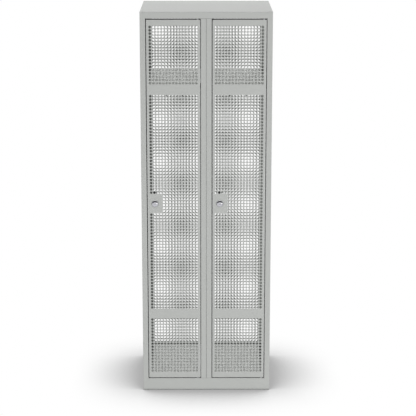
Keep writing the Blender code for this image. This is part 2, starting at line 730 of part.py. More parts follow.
def make_lock(bay, door_axis, at):
    """Cam lock: flanged barrel and nut fixed to the door, plug, cam and screw that turn together."""
    facing_front = (math.pi / 2, 0, 0)
    turning = add_axis("lock_axis_" + bay.name, at, door_axis)
    bore = PLUG_RADIUS + SEAT_GAP
    crest = LOCK_PROUD
    barrel = (
        (LOCK_CREST_RADIUS, crest), (LOCK_FLANGE_RADIUS, crest - LOCK_FLANGE_CHAMFER),
        (LOCK_FLANGE_RADIUS, SEAT_GAP), (LOCK_BARREL_RADIUS, SEAT_GAP),
        (LOCK_BARREL_RADIUS, -LOCK_BARREL_LENGTH), (bore, -LOCK_BARREL_LENGTH), (bore, PLUG_FACE_HEIGHT),
    )
    turned("lock_barrel_" + bay.name, barrel, "chrome", at, facing_front, door_axis, ring=True)

    shape = bmesh.new()
    bmesh.ops.create_cone(
        shape, cap_ends=True, segments=6, radius1=NUT_CORNER_RADIUS, radius2=NUT_CORNER_RADIUS,
        depth=NUT_THICKNESS,
    )
    name = "lock_nut_" + bay.name
    middle = Vector((at[0], depth(SHEET + SEAT_GAP + NUT_THICKNESS / 2), at[2]))
    nut = add_part(name, mesh_from(name, shape), "zinc", middle, facing_front, door_axis)
    nut_hole = drill("nut_bore_" + bay.name, middle, LOCK_HOLE_RADIUS, NUT_THICKNESS + CUT_OVERRUN, facing_front)
    cut(nut, nut_hole)

    plug_face = (
        (0, PLUG_FACE_HEIGHT), (PLUG_RADIUS - PLUG_FACE_CHAMFER, PLUG_FACE_HEIGHT),
        (PLUG_RADIUS, PLUG_FACE_HEIGHT - PLUG_FACE_CHAMFER), (PLUG_RADIUS, -PLUG_LENGTH),
        (CAM_HOLE_RADIUS, -PLUG_LENGTH), (CAM_HOLE_RADIUS, PLUG_BORE_DEPTH - PLUG_LENGTH),
        (0, PLUG_BORE_DEPTH - PLUG_LENGTH),
    )
    plug = turned("lock_plug_" + bay.name, plug_face, "chrome", at, facing_front, turning)
    slot = box_cutter(
        "key_slot_" + bay.name,
        (at[0] - KEY_SLOT_WIDTH / 2, FRONT_Y - PLUG_FACE_HEIGHT - CUT_OVERRUN, at[2] - KEY_SLOT_LENGTH / 2),
        (at[0] + KEY_SLOT_WIDTH / 2, depth(KEY_SLOT_DEPTH), at[2] + KEY_SLOT_LENGTH / 2),
    )
    cut(plug, slot)

    half = CAM_WIDTH / 2
    outline = arc((0, 0), half, 180, 360, 9)
    outline += arc((half - CAM_CORNER, CAM_REACH - CAM_CORNER), CAM_CORNER, 0, 90, 4)
    outline += arc((CAM_CORNER - half, CAM_REACH - CAM_CORNER), CAM_CORNER, 90, 180, 4)
    hole = arc((0, 0), CAM_HOLE_RADIUS, 0, 360, SEGMENTS_SMALL + 1)[:-1]
    name = "lock_cam_" + bay.name
    cam_mesh = flat_plate_mesh(name, (outline, hole), CAM_THICKNESS)
    cam_at = (at[0], depth((CAM_FRONT + CAM_REAR) / 2), at[2])
    add_part(name, cam_mesh, "zinc", cam_at, facing_front, turning)

    shank_end = -(CAM_FRONT - PLUG_BORE_DEPTH + 2 * SEAT_GAP)
    head = -(CAM_REAR + SEAT_GAP)
    tail = head - CAM_SCREW_HEAD_HEIGHT
    screw = (
        (0, shank_end), (CAM_SCREW_RADIUS, shank_end), (CAM_SCREW_RADIUS, head),
        (CAM_SCREW_HEAD_RADIUS, head), (CAM_SCREW_HEAD_RADIUS, tail + CAM_SCREW_CHAMFER),
        (CAM_SCREW_HEAD_RADIUS - CAM_SCREW_CHAMFER, tail), (0, tail),
    )
    name = "cam_screw_" + bay.name
    turned(name, screw, "zinc", at, facing_front, turning, segments=SEGMENTS_SMALL)


def make_buffers(bay):
    """Rubber buffers on the stop lip, which the closed door rests against."""
    x = bay.door_left - DOOR_GAP + STOP_LIP / 2
    y = depth(DOOR_DEPTH + SEAT_GAP + BUFFER_THICKNESS / 2)
    for end, z in (("top", DOOR_TOP - BUFFER_END_INSET), ("bottom", DOOR_BOTTOM + BUFFER_END_INSET)):
        shape = bmesh.new()
        bmesh.ops.create_cone(
            shape, cap_ends=True, segments=SEGMENTS_SMALL, radius1=BUFFER_RADIUS, radius2=BUFFER_RADIUS,
            depth=BUFFER_THICKNESS,
        )
        name = "door_buffer_" + end + "_" + bay.name
        add_part(name, mesh_from(name, shape), "rubber", (x, y, z), (math.pi / 2, 0, 0))


def main():
    roof = make_roof()
    base = make_base()
    make_side_panel("side_panel_left", -1, True)
    make_side_panel("side_panel_right", 1, False)
    make_partition("partition_left", -1, False)
    make_partition("partition_right", 1, True)
    make_back_panel()
    for bay in make_bays():
        make_shelf(bay)
        make_rail(bay)
        make_hooks(bay)
        hinge_x = make_door(bay)
        make_buffers(bay)
        y = depth(PIVOT_SETBACK)
        length = 2 * (SHEET + CUT_OVERRUN)
        cut(roof, drill("header_hole_" + bay.name, (hinge_x, y, OPENING_TOP), PIN_HOLE_RADIUS, length))
        cut(base, drill("floor_hole_" + bay.name, (hinge_x, y, PLINTH_HEIGHT), PIN_HOLE_RADIUS, length))


main()
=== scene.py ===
"""Look of a perforated steel locker with two compartments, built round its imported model.

Units are metres, +Z is up and the doors face -Y. "Left" and "right" are seen from the front.
"""

import logging
import math
from dataclasses import dataclass
from enum import Enum
from functools import reduce
from typing import Callable, Iterable, Sequence

import bmesh
import bpy
from mathutils import Matrix, Vector
from mathutils.geometry import interpolate_bezier


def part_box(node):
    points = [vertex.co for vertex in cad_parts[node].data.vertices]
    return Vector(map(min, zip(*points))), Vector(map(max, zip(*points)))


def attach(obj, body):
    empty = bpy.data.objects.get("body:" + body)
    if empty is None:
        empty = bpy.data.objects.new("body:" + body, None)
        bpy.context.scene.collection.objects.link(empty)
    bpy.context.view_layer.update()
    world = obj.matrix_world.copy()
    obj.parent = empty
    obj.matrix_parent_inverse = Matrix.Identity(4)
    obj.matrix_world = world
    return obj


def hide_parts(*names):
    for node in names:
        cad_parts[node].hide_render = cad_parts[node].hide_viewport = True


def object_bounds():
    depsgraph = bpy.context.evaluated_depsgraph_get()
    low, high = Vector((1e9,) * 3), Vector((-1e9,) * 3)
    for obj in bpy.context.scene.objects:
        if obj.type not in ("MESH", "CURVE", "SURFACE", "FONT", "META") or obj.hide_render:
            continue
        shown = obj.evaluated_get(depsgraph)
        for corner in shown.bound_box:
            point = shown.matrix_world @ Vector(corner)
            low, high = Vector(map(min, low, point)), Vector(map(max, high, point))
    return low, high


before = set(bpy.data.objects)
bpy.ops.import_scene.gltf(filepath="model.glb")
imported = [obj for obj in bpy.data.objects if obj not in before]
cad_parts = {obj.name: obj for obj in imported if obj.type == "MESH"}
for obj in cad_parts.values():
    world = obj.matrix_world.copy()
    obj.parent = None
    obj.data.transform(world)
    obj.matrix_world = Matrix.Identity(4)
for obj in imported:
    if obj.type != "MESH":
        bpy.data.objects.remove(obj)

Material = bpy.types.Material
Mesh = bpy.types.Mesh
Object = bpy.types.Object
Socket = bpy.types.NodeSocket
Point = tuple[float, float, float]
Pair = tuple[float, float]
Outline = Sequence[Pair]
Inputs = dict[str | int, object]

LOG = logging.getLogger("locker")
CAD_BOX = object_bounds()
FRONT_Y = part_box("roof_panel")[0].y
HALF_TURN = math.pi
QUARTER_TURN = math.pi / 2
MERGE = 0.00002
SHEET = 0.001
SEAT_GAP = 0.0003
DOOR_DEPTH = 0.021
HOLE_PITCH = 0.015
# Turn of a hole's corners away from its tile's, so that no sliver joins them.
HOLE_TURN = math.radians(11.25)
SMOOTH_BELOW = math.radians(35)


class Side(Enum):
    """Compartment, as seen from the front."""

    LEFT = "left"
    RIGHT = "right"


class Slot(Enum):
    """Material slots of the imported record."""

    CASE = "case_paint"
    DOOR = "door_paint"
    ZINC = "zinc_plate"
    CHROME = "lock_chrome"
    RUBBER = "buffer_rubber"


def steps_from(start: float, pitch: float, count: int) -> list[float]:
    """Places at an even pitch, both ends included."""
    return [start + pitch * number for number in range(count + 1)]


def arc(centre: Pair, radius: float, start: float, angle: float, steps: int) -> list[Pair]:
    """Points along an arc, both ends included."""
    turns = steps_from(start, angle / steps, steps)
    return [(centre[0] + radius * math.cos(a), centre[1] + radius * math.sin(a)) for a in turns]


def beside(corner: Pair, offsets: Outline) -> list[Pair]:
    """Points at offsets from a corner, which round it off."""
    return [(corner[0] + across, corner[1] + along) for across, along in offsets]


def linked(name: str, data: bpy.types.ID) -> Object:
    """New object in the scene.

    Args:
        name: Name of the object.
        data: Its mesh, light or camera.

    Returns:
        The object.
    """
    item = bpy.data.objects.new(name, data)
    bpy.context.scene.collection.objects.link(item)
    return item


def applied(item: Object, *tools: Object) -> Mesh:
    """Result of an object's modifier, after which the object goes.

    Args:
        item: Object with the modifier.
        tools: Objects that the modifier used, which go too.

    Returns:
        The plain mesh.
    """
    made = bpy.data.meshes.new_from_object(item.evaluated_get(bpy.context.evaluated_depsgraph_get()))
    item.modifiers.clear()
    for thing in (item, *tools):
        bpy.data.objects.remove(thing, do_unlink=True)
    return made


class NodeGraph:
    """Helper that adds nodes to a tree and feeds them."""

    def __init__(self, tree: bpy.types.NodeTree) -> None:
        """Work on a tree."""
        self.tree = tree

    def feed(self, target: Socket, value: object) -> None:
        """Link an input, or set it.

        Args:
            target: The input.
            value: Socket to link it to, or its plain value.
        """
        if isinstance(value, Socket):
            self.tree.links.new(value, target)
        else:
            target.default_value = value

    def add(self, kind: str, inputs: Inputs | None = None, **settings: object) -> bpy.types.Node:
        """Add a node.

        Args:
            kind: Blender's type name of the node.
            inputs: Sockets or plain values, by input name or number.
            settings: Properties of the node.

        Returns:
            The new node.
        """
        node = self.tree.nodes.new(kind)
        for key, value in settings.items():
            setattr(node, key, value)
        for key, value in (inputs or {}).items():
            self.feed(node.inputs[key], value)
        return node

    def out(self, kind: str, inputs: Inputs | None = None, **settings: object) -> Socket:
        """Add a node, and give its first output."""
        return self.add(kind, inputs, **settings).outputs[0]

    def maths(self, operation: str, a: object, b: object = 0.0) -> Socket:
        """Result of a sum on two numbers or sockets."""
        return self.out("ShaderNodeMath", {0: a, 1: b}, operation=operation)

    def product(self, *factors: object) -> Socket:
        """Product of numbers or sockets."""
        return reduce(lambda first, second: self.maths("MULTIPLY", first, second), factors)

    def spread(
        self, value: Socket, low: float, high: float, ends: Pair = (0, 1), kind: str = "LINEAR"
    ) -> Socket:
        """A value mapped to another range: low at the lower of its ends, high at the upper one."""
        inputs = {"Value": value, "From Min": ends[0], "From Max": ends[1], "To Min": low, "To Max": high}
        return self.out("ShaderNodeMapRange", inputs, interpolation_type=kind)

    def smooth(self, value: Socket, low: float, high: float, ends: Pair) -> Socket:
        """The same, easing in and out of the ends."""
        return self.spread(value, low, high, ends, "SMOOTHSTEP")

    def seen_ray(self) -> Socket:
        """1 for rays of the camera, of mirrors and through glass, and 0 for light that falls on things.

        Returns:
            The value.
        """
        rays = self.add("ShaderNodeLightPath").outputs
        mirrored = self.maths("MAXIMUM", rays["Is Glossy Ray"], rays["Is Transmission Ray"])
        return self.maths("MAXIMUM", rays["Is Camera Ray"], mirrored)


class ShaderGraph(NodeGraph):
    """Nodes of one material, round its surface shader."""

    def __init__(self, name: str) -> None:
        """Start a material.

        Args:
            name: Name of the material.
        """
        self.material = bpy.data.materials.new(name)
        self.material.use_nodes = True
        super().__init__(self.material.node_tree)
        self.shader = self.tree.nodes["Principled BSDF"]

    def surface(self, **values: object) -> None:
        """Feed inputs of the surface shader, with underscores for the spaces in their names."""
        for key, value in values.items():
            self.feed(self.shader.inputs[key.replace("_", " ")], value)

    def place(self, centre: Point = (0, 0, 0)) -> Socket:
        """Object coordinates, measured from a centre."""
        source = self.add("ShaderNodeTexCoord").outputs["Object"]
        return self.out("ShaderNodeMapping", {"Vector": source, "Location": [-value for value in centre]})

    def noise(self, place: Socket, scale: float, detail: float) -> Socket:
        """Noise between 0 and 1, with its cells per metre and its octaves."""
        return self.out("ShaderNodeTexNoise", {"Vector": place, "Scale": scale, "Detail": detail})

    def split(self, place: Socket) -> tuple[Socket, ...]:
        """The three coordinates of a place."""
        return tuple(self.add("ShaderNodeSeparateXYZ", {0: place}).outputs)

    def inside(self, value: Socket, low: float, high: float) -> Socket:
        """1 where a value lies between two limits, and 0 elsewhere."""
        return self.product(self.maths("GREATER_THAN", value, low), self.maths("LESS_THAN", value, high))

    def blend(self, share: Socket, a: object, b: object) -> Socket:
        """Value a where the share is 0, and b where it is 1."""
        kept = self.product(self.maths("SUBTRACT", 1.0, share), a)
        return self.maths("ADD", kept, self.product(share, b))

    def reach(self, x: Socket, z: Socket, centre: Pair, stretch: float = 1.0) -> Socket:
        """Distance from a centre.

        Args:
            x: Coordinate across.
            z: Coordinate upwards.
            centre: Where the distance is 0.
            stretch: What the distance across is multiplied by.

        Returns:
            The distance.
        """
        across = self.product(self.maths("SUBTRACT", x, centre[0]), stretch)
        up = self.maths("SUBTRACT", z, centre[1])
        return self.maths("SQRT", self.maths("ADD", self.product(across, across), self.product(up, up)))

    def openness(self, reach: float, samples: int) -> Socket:
        """1 on open surfaces, falling to 0 in gaps narrower than a reach."""
        return self.add("ShaderNodeAmbientOcclusion", {"Distance": reach}, samples=samples).outputs["AO"]

    def tint(self, base: Point, shade: Socket) -> None:
        """Feed the base colour, multiplied by a shade round 1.

        Args:
            base: Colour as written.
            shade: The shade.
        """
        grey = self.out("ShaderNodeCombineColor", {0: shade, 1: shade, 2: shade})
        both = {"Factor": 1.0, "A": (*base, 1.0), "B": grey}
        mixed = self.add("ShaderNodeMix", both, data_type="RGBA", blend_type="MULTIPLY")
        self.surface(Base_Color=mixed.outputs["Result"])

    def bump(self, height: Socket, distance: float, strength: float) -> None:
        """Add relief: metres that a height of 1 stands for, and the share of the effect."""
        inputs = {"Height": height, "Distance": distance, "Strength": strength}
        self.surface(Normal=self.out("ShaderNodeBump", inputs))


@dataclass(frozen=True)
class PowderCoat:
    """Light grey powder coat: orange peel, faint clouds, painted shade in crevices, and painted light and
    shade inside a room.
    """

    colour: Point = (0.452, 0.463, 0.448)
    roughness: Pair = (0.41, 0.51)
    rough_scale: float = 620.0 / 9
    peel_scale: float = 620.0
    peel_height: float = 0.00006
    peel_strength: float = 0.22
    cloud_scale: float = 2.4
    cloud_shades: Pair = (0.982, 1.018)
    # Painted shade in gaps and creases: the coat darkens where ambient occlusion finds little open space.
    crevice_reach: float = 0.014
    crevice_samples: int = 6
    crevice_open: Pair = (0.22, 0.92)
    painted_crevice_shade: float = 0.03
    # Painted light and shade inside the room: the room's factor, the factors at its two sides, where they
    # start and end, and the factor on upward faces.
    room_painted_shade: float = 1.15
    painted_corner_shades: Pair = (0.22, 0.22)
    corner: Pair = (0.026, 0.044)
    upward_painted_shade: float = 0.84
    level_from: float = 0.7

    def build(self, name: str, room: tuple[Point, Point] | None = None) -> Material:
        """Make the material.

        Args:
            name: Name of the material.
            room: Lowest and highest corner of the room where painted light and shade change the coat.

        Returns:
            The material.
        """
        graph = ShaderGraph(name)
        place = graph.place()
        shade = graph.spread(graph.noise(place, self.cloud_scale, detail=3.0), *self.cloud_shades)
        # Painted shade: darker where the coat sees little open space, such as the doors' gaps.
        openness = graph.openness(self.crevice_reach, self.crevice_samples)
        shade = graph.product(shade, graph.smooth(openness, self.painted_crevice_shade, 1.0, self.crevice_open))
        if room:
            shade = graph.product(shade, self.inside(graph, place, *room))
        graph.tint(self.colour, shade)
        blotches = graph.noise(place, self.rough_scale, detail=2.0)
        graph.surface(Roughness=graph.spread(blotches, *self.roughness))
        graph.bump(graph.noise(place, self.peel_scale, detail=1.0), self.peel_height, self.peel_strength)
        return graph.material

    def inside(self, graph: ShaderGraph, place: Socket, low: Point, high: Point) -> Socket:
        """Painted light and shade of the coat inside a room, and 1 outside: a factor for the whole room, a
        factor towards each of its sides, and one on upward faces.

        Args:
            graph: The material's graph.
            place: Object coordinates.
            low: Lowest corner of the room.
            high: Highest corner of the room.

        Returns:
            The shade.
        """
        axes = graph.split(place)
        room = graph.product(*(graph.inside(*limits) for limits in zip(axes, low, high)))
        # Painted light and shade towards the room's two sides.
        to_sides = graph.maths("SUBTRACT", axes[0], low[0]), graph.maths("SUBTRACT", high[0], axes[0])
        corners = (
            graph.smooth(reach, shade / self.room_painted_shade, 1.0, self.corner)
            for reach, shade in zip(to_sides, self.painted_corner_shades)
        )
        # Painted shade on faces that point up.
        upwards = graph.split(graph.add("ShaderNodeNewGeometry").outputs["True Normal"])[2]
        level = graph.spread(graph.maths("GREATER_THAN", upwards, self.level_from), 1.0, self.upward_painted_shade)
        return graph.blend(room, 1.0, graph.product(*corners, self.room_painted_shade, level))


@dataclass(frozen=True)
class GrainedFinish:
    """Finish whose grain changes its shade and roughness, under fine marks."""

    colour: Point
    metallic: float
    grain_scale: float
    shades: Pair
    roughness: Pair
    mark_scale: float
    mark_height: float
    mark_strength: float

    def build(self, name: str) -> Material:
        """Make the material.

        Args:
            name: Name of the material.

        Returns:
            The material.
        """
        graph = ShaderGraph(name)
        place = graph.place()
        grain = graph.noise(place, self.grain_scale, detail=2.0)
        graph.tint(self.colour, graph.spread(grain, *self.shades))
        graph.surface(Roughness=graph.spread(grain, *self.roughness), Metallic=self.metallic)
        graph.bump(graph.noise(place, self.mark_scale, detail=2.0), self.mark_height, self.mark_strength)
        return graph.material


@dataclass(frozen=True)
class ZincPlate(GrainedFinish):
    """Bright zinc plating with its spangle and fine drawing marks."""

    colour: Point = (0.60, 0.61, 0.62)
    metallic: float = 1.0
    grain_scale: float = 160.0
    shades: Pair = (0.92, 1.08)
    roughness: Pair = (0.44, 0.28)
    mark_scale: float = 1500.0
    mark_height: float = 0.00002
    mark_strength: float = 0.3


@dataclass(frozen=True)
class BufferRubber(GrainedFinish):
    """Dark moulded rubber with a fine grain."""

    colour: Point = (0.030, 0.030, 0.031)
    metallic: float = 0.0
    grain_scale: float = 1800.0
    shades: Pair = (0.85, 1.2)
    roughness: Pair = (0.72, 0.84)
    mark_scale: float = 1800.0
    mark_height: float = 0.00005
    mark_strength: float = 0.4


@dataclass(frozen=True)
class LockChrome:
    """Satin chrome with turning rings, a painted shade as a dark crescent under the top rim, and painted
    highlights on the lip's top and on a spot by the plug.
    """

    colour: Point = (0.56, 0.56, 0.60)
    roughness: Pair = (0.15, 0.27)
    stain_scale: float = 220.0
    stain_shades: Pair = (0.95, 1.03)
    ring_scale: float = 900.0
    ring_wobble: float = 0.4
    ring_height: float = 0.00001
    ring_strength: float = 0.25
    # Painted shade and highlights: where the dark crescent, the dark flanks, the bright lip and the bright
    # spot lie, and how dark or bright they are.
    disc_at: Pair = (0.0003, -0.0054)
    disc_ends: Pair = (0.0116, 0.0122)
    disc_top: Pair = (-0.001, 0.005)
    pocket_painted_shade: float = 0.01
    lower_painted_shade: float = 0.95
    lip_painted_highlight: float = 1.78
    lip_from: Pair = (0.0130, 0.0135)
    painted_flank_level: float = 0.60
    flank_from: Pair = (0.0122, 0.0136)
    painted_highlight_at: Pair = (0.0086, 0.0013)
    painted_highlight_ends: Pair = (0.0020, 0.0030)
    painted_highlight_stretch: float = 0.6
    painted_highlight_level: float = 1.78

    def build(self, name: str, centre: Point, pocket: Pair | None = None) -> Material:
        """Make the material.

        Args:
            name: Name of the material.
            centre: Point on the lock's axis, on the door's face.
            pocket: Inner and outer radius of the pocket that has the painted crescent shade and the painted
                highlight.

        Returns:
            The material.
        """
        graph = ShaderGraph(name)
        place = graph.place(centre)
        inputs = {"Vector": place, "Scale": self.ring_scale, "Distortion": self.ring_wobble}
        rings = graph.add("ShaderNodeTexWave", inputs, wave_type="RINGS", rings_direction="Y")
        stains = graph.noise(place, self.stain_scale, detail=3.0)
        shade = graph.spread(stains, *self.stain_shades)
        # Painted shade and highlights, on the flange only.
        if pocket:
            shade = graph.product(shade, self.painted_shading(graph, place, *pocket))
        graph.tint(self.colour, shade)
        graph.surface(Roughness=graph.spread(stains, *self.roughness), Metallic=1.0)
        graph.bump(rings.outputs["Fac"], self.ring_height, self.ring_strength)
        return graph.material

    def painted_shading(self, graph: ShaderGraph, place: Socket, inner: float, outer: float) -> Socket:
        """Painted light and shade of the flange: a painted shade over the disc in its pocket and on its
        flanks, and painted highlights on the lip's top and on one spot.

        Args:
            graph: The material's graph.
            place: Coordinates from the lock's centre.
            inner: Pocket's inner radius.
            outer: Pocket's outer radius.

        Returns:
            The painted shade factor.
        """
        x, _, z = graph.split(place)
        radius = graph.reach(x, z, (0, 0))
        pocket = graph.inside(radius, inner, outer)
        crescent_painted_shade = graph.smooth(z, self.lower_painted_shade, self.pocket_painted_shade, self.disc_top)
        past = graph.smooth(graph.reach(x, z, self.disc_at), 0.0, 1.0, self.disc_ends)
        dark = graph.blend(graph.product(past, pocket), 1.0, crescent_painted_shade)
        painted_flank = graph.smooth(graph.maths("ABSOLUTE", x), 1.0, self.painted_flank_level, self.flank_from)
        sides = graph.blend(graph.maths("GREATER_THAN", radius, outer), dark, painted_flank)
        bright = graph.blend(graph.smooth(z, 0.0, 1.0, self.lip_from), sides, self.lip_painted_highlight)
        spot = graph.smooth(graph.reach(x, z, self.painted_highlight_at, self.painted_highlight_stretch), 1.0, 0.0, self.painted_highlight_ends)
        return graph.blend(graph.product(spot, pocket), bright, self.painted_highlight_level)


class GeometryTree(NodeGraph):
    """Geometry Nodes tree with named inputs."""

    KINDS = {
        float: "NodeSocketFloat", int: "NodeSocketInt", Vector: "NodeSocketVector",
        Material: "NodeSocketMaterial", Object: "NodeSocketObject",
    }

    def __init__(self, name: str, inputs: dict[str, type]) -> None:
        """Start a tree.

        Args:
            name: Name of the tree.
            inputs: Name and type of each input after the geometry.
        """
        super().__init__(bpy.data.node_groups.new(name, "GeometryNodeTree"))
        face = self.tree.interface
        face.new_socket(name="Geometry", in_out="INPUT", socket_type="NodeSocketGeometry")
        self.keys = {
            key: face.new_socket(name=key, in_out="INPUT", socket_type=self.KINDS[kind]).identifier
            for key, kind in inputs.items()
        }
        face.new_socket(name="Geometry", in_out="OUTPUT", socket_type="NodeSocketGeometry")
        self.source = self.tree.nodes.new("NodeGroupInput")
        self.target = self.tree.nodes.new("NodeGroupOutput")

    def value(self, name: str) -> Socket:
        """Output that carries a named input."""
        return self.source.outputs[name]

    def joined(self, *parts: Socket) -> Socket:
        """All these geometries as one.

        Args:
            parts: The geometries.

        Returns:
            The joined geometry.
        """
        node = self.add("GeometryNodeJoinGeometry")
        for part in parts:
            self.feed(node.inputs[0], part)
        return node.outputs[0]

    def merged(self, geometry: Socket) -> Socket:
        """A geometry with its touching corners welded."""
        return self.out("GeometryNodeMergeByDistance", {"Geometry": geometry, "Distance": MERGE})

    def close(self, geometry: Socket) -> None:
        """End the tree in real geometry that carries the input named Finish.

        Args:
            geometry: What the tree made.
        """
        real = self.out("GeometryNodeRealizeInstances", {0: geometry})
        dressed = self.out("GeometryNodeSetMaterial", {"Geometry": real, "Material": self.value("Finish")})
        self.feed(self.target.inputs[0], dressed)

    def run(self, mesh: Mesh, values: dict[str, object]) -> Mesh:
        """Run the tree on a mesh.

        Args:
            mesh: Mesh that goes in.
            values: Value of each named input.

        Returns:
            The result, as a plain mesh.
        """
        holder = linked("holder", mesh)
        step = holder.modifiers.new(self.tree.name, "NODES")
        step.node_group = self.tree
        for key, value in values.items():
            step[self.keys[key]] = value
        return applied(holder)


def plain_mesh(shape: bmesh.types.BMesh) -> Mesh:
    """Plain mesh from a shape.

    Args:
        shape: The shape, which is freed.

    Returns:
        The mesh.
    """
    mesh = bpy.data.meshes.new("shape")
    shape.to_mesh(mesh)
    shape.free()
    return mesh


def line_mesh(routes: Iterable[Sequence[Point]]) -> Mesh:
    """Mesh of open lines.

    Args:
        routes: Points of each line.

    Returns:
        The mesh.
    """
    shape = bmesh.new()
    for route in routes:
        corners = [shape.verts.new(point) for point in route]
        for pair in zip(corners, corners[1:]):
            shape.edges.new(pair)
    return plain_mesh(shape)


def add_piece(
    name: str, mesh: Mesh, body: str, node: str = "", finish: Material | None = None
) -> None:
    """Add a piece to the scene.

    Args:
        name: Name of the piece.
        mesh: Its mesh, with its place in it.
        body: Body that it rides on.
        node: CAD node that it stands for.
        finish: Its finish, unless its mesh has one.
    """
    mesh.name = name
    if finish:
        mesh.materials.append(finish)
    mesh.shade_smooth()
    mesh.set_sharp_from_angle(angle=SMOOTH_BELOW)
    item = linked(name, mesh)
    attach(item, body)
    if node:
        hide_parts(node)
    LOG.info("%s rides on %s with %d faces", name, body, len(mesh.polygons))


def dress(finish: Material, *nodes: str) -> None:
    """Give CAD nodes their finish.

    Args:
        finish: The finish.
        nodes: Names of the nodes.
    """
    for node in nodes:
        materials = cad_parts[node].data.materials
        materials.clear()
        materials.append(finish)


def turned(
    profile: Outline, steps: int, centre: Point = (0, 0, 0), facing: Point = (0, -1, 0), closed: bool = False
) -> Mesh:
    """Solid turned round an axis.

    Args:
        profile: Radius and distance in front of the centre, from the front to the back.
        steps: Facets round the turn.
        centre: Point on the axis.
        facing: Direction of the front.
        closed: Whether the profile is a ring that joins up with its start.

    Returns:
        The mesh.
    """
    shape = bmesh.new()
    corners = [shape.verts.new((radius, 0, front)) for radius, front in profile]
    ends = corners[1:] + corners[:1] if closed else corners[1:]
    edges = [shape.edges.new(pair) for pair in zip(corners, ends)]
    bmesh.ops.spin(
        shape, geom=corners + edges, cent=(0, 0, 0), axis=(0, 0, 1), angle=2 * HALF_TURN, steps=steps,
        use_merge=True,
    )
    bmesh.ops.remove_doubles(shape, verts=shape.verts, dist=MERGE / 4)
    bmesh.ops.recalc_face_normals(shape, faces=shape.faces)
    turn = Vector((0, 0, 1)).rotation_difference(Vector(facing)).to_matrix().to_4x4()
    bmesh.ops.transform(shape, matrix=Matrix.Translation(centre) @ turn, verts=shape.verts)
    return plain_mesh(shape)


def block(low: Point, high: Point, centre: Point = (0, 0, 0)) -> Mesh:
    """Box between two corners.

    Args:
        low: Lowest corner, from the centre.
        high: Highest corner, from the centre.
        centre: Point that both are measured from.

    Returns:
        The mesh.
    """
    first, last = (Vector([at + way for at, way in zip(centre, corner)]) for corner in (low, high))
    shape = bmesh.new()
    bmesh.ops.create_cube(shape, size=1)
    place = Matrix.Translation((last + first) / 2) @ Matrix.Diagonal((*(last - first), 1))
    bmesh.ops.transform(shape, matrix=place, verts=shape.verts)
    return plain_mesh(shape)


def carved(body: Mesh, cutter: Mesh, operation: str = "DIFFERENCE") -> Mesh:
    """Body less a cutter, or the part of it that lies in the cutter.

    Args:
        body: Mesh that is cut.
        cutter: Mesh that cuts it.
        operation: DIFFERENCE or INTERSECT.

    Returns:
        The result.
    """
    holder, tool = linked("body", body), linked("cutter", cutter)
    step = holder.modifiers.new("carve", "BOOLEAN")
    step.object, step.operation, step.solver = tool, operation, "EXACT"
    return applied(holder, tool)


def crossed(body: Mesh, bar: Pair, front: float, rear: float, centre: Point = (0, 0, 0)) -> Mesh:
    """Body with a cross recess.

    Args:
        body: Mesh round an axis along Y.
        bar: Half the length and half the width of the cross's bars.
        front: Lower Y of the cut, from the centre.
        rear: Upper Y of the cut, from the centre.
        centre: Point on the axis.

    Returns:
        The result.
    """
    for across, up in (bar, bar[::-1]):
        body = carved(body, block((-across, front, -up), (across, rear, up), centre))
    return body


class SheetPunch(GeometryTree):
    """Geometry Nodes that punch a grid of round holes in a flat sheet and give it its thickness."""

    def __init__(self) -> None:
        """Build the tree once for all sheets."""
        sizes = {"Hole diameter": float, "Hole pitch": float, "Hole sides": int, "Sheet thickness": float}
        super().__init__("punch_sheet", {**sizes, "Finish": Material})
        pitch, sheet = self.value("Hole pitch"), self.value("Geometry")
        kind = self.add("GeometryNodeInputNamedAttribute", {"Name": "punched"}, data_type="BOOLEAN")
        picked = {"Geometry": sheet, "Selection": kind.outputs["Attribute"]}
        parts = self.add("GeometryNodeSeparateGeometry", picked, domain="FACE")
        centres = self.out("GeometryNodeMeshToPoints", {"Mesh": parts.outputs["Selection"]}, mode="FACES")
        rim = self.out("GeometryNodeCurvePrimitiveQuadrilateral", {"Width": pitch, "Height": pitch})
        radius = self.product(self.value("Hole diameter"), 0.5)
        circle = {"Resolution": self.value("Hole sides"), "Radius": radius}
        hole = self.out("GeometryNodeCurvePrimitiveCircle", circle)
        hole = self.out("GeometryNodeTransform", {"Geometry": hole, "Rotation": (0, 0, HOLE_TURN)})
        tile = self.out("GeometryNodeFillCurve", {0: self.joined(rim, hole)}, mode="TRIANGLES")
        upright = self.out("FunctionNodeEulerToRotation", {0: (QUARTER_TURN, 0, 0)})
        placed = {"Points": centres, "Instance": tile, "Rotation": upright}
        tiles = self.out("GeometryNodeInstanceOnPoints", placed)
        real = self.out("GeometryNodeRealizeInstances", {0: tiles})
        face = self.merged(self.joined(parts.outputs["Inverted"], real))
        rear = self.out("GeometryNodeFlipFaces", {0: face})
        thick = {"Mesh": rear, "Offset Scale": self.value("Sheet thickness"), "Individual": False}
        wall = self.out("GeometryNodeExtrudeMesh", thick, mode="FACES")
        self.close(self.merged(self.joined(face, wall)))


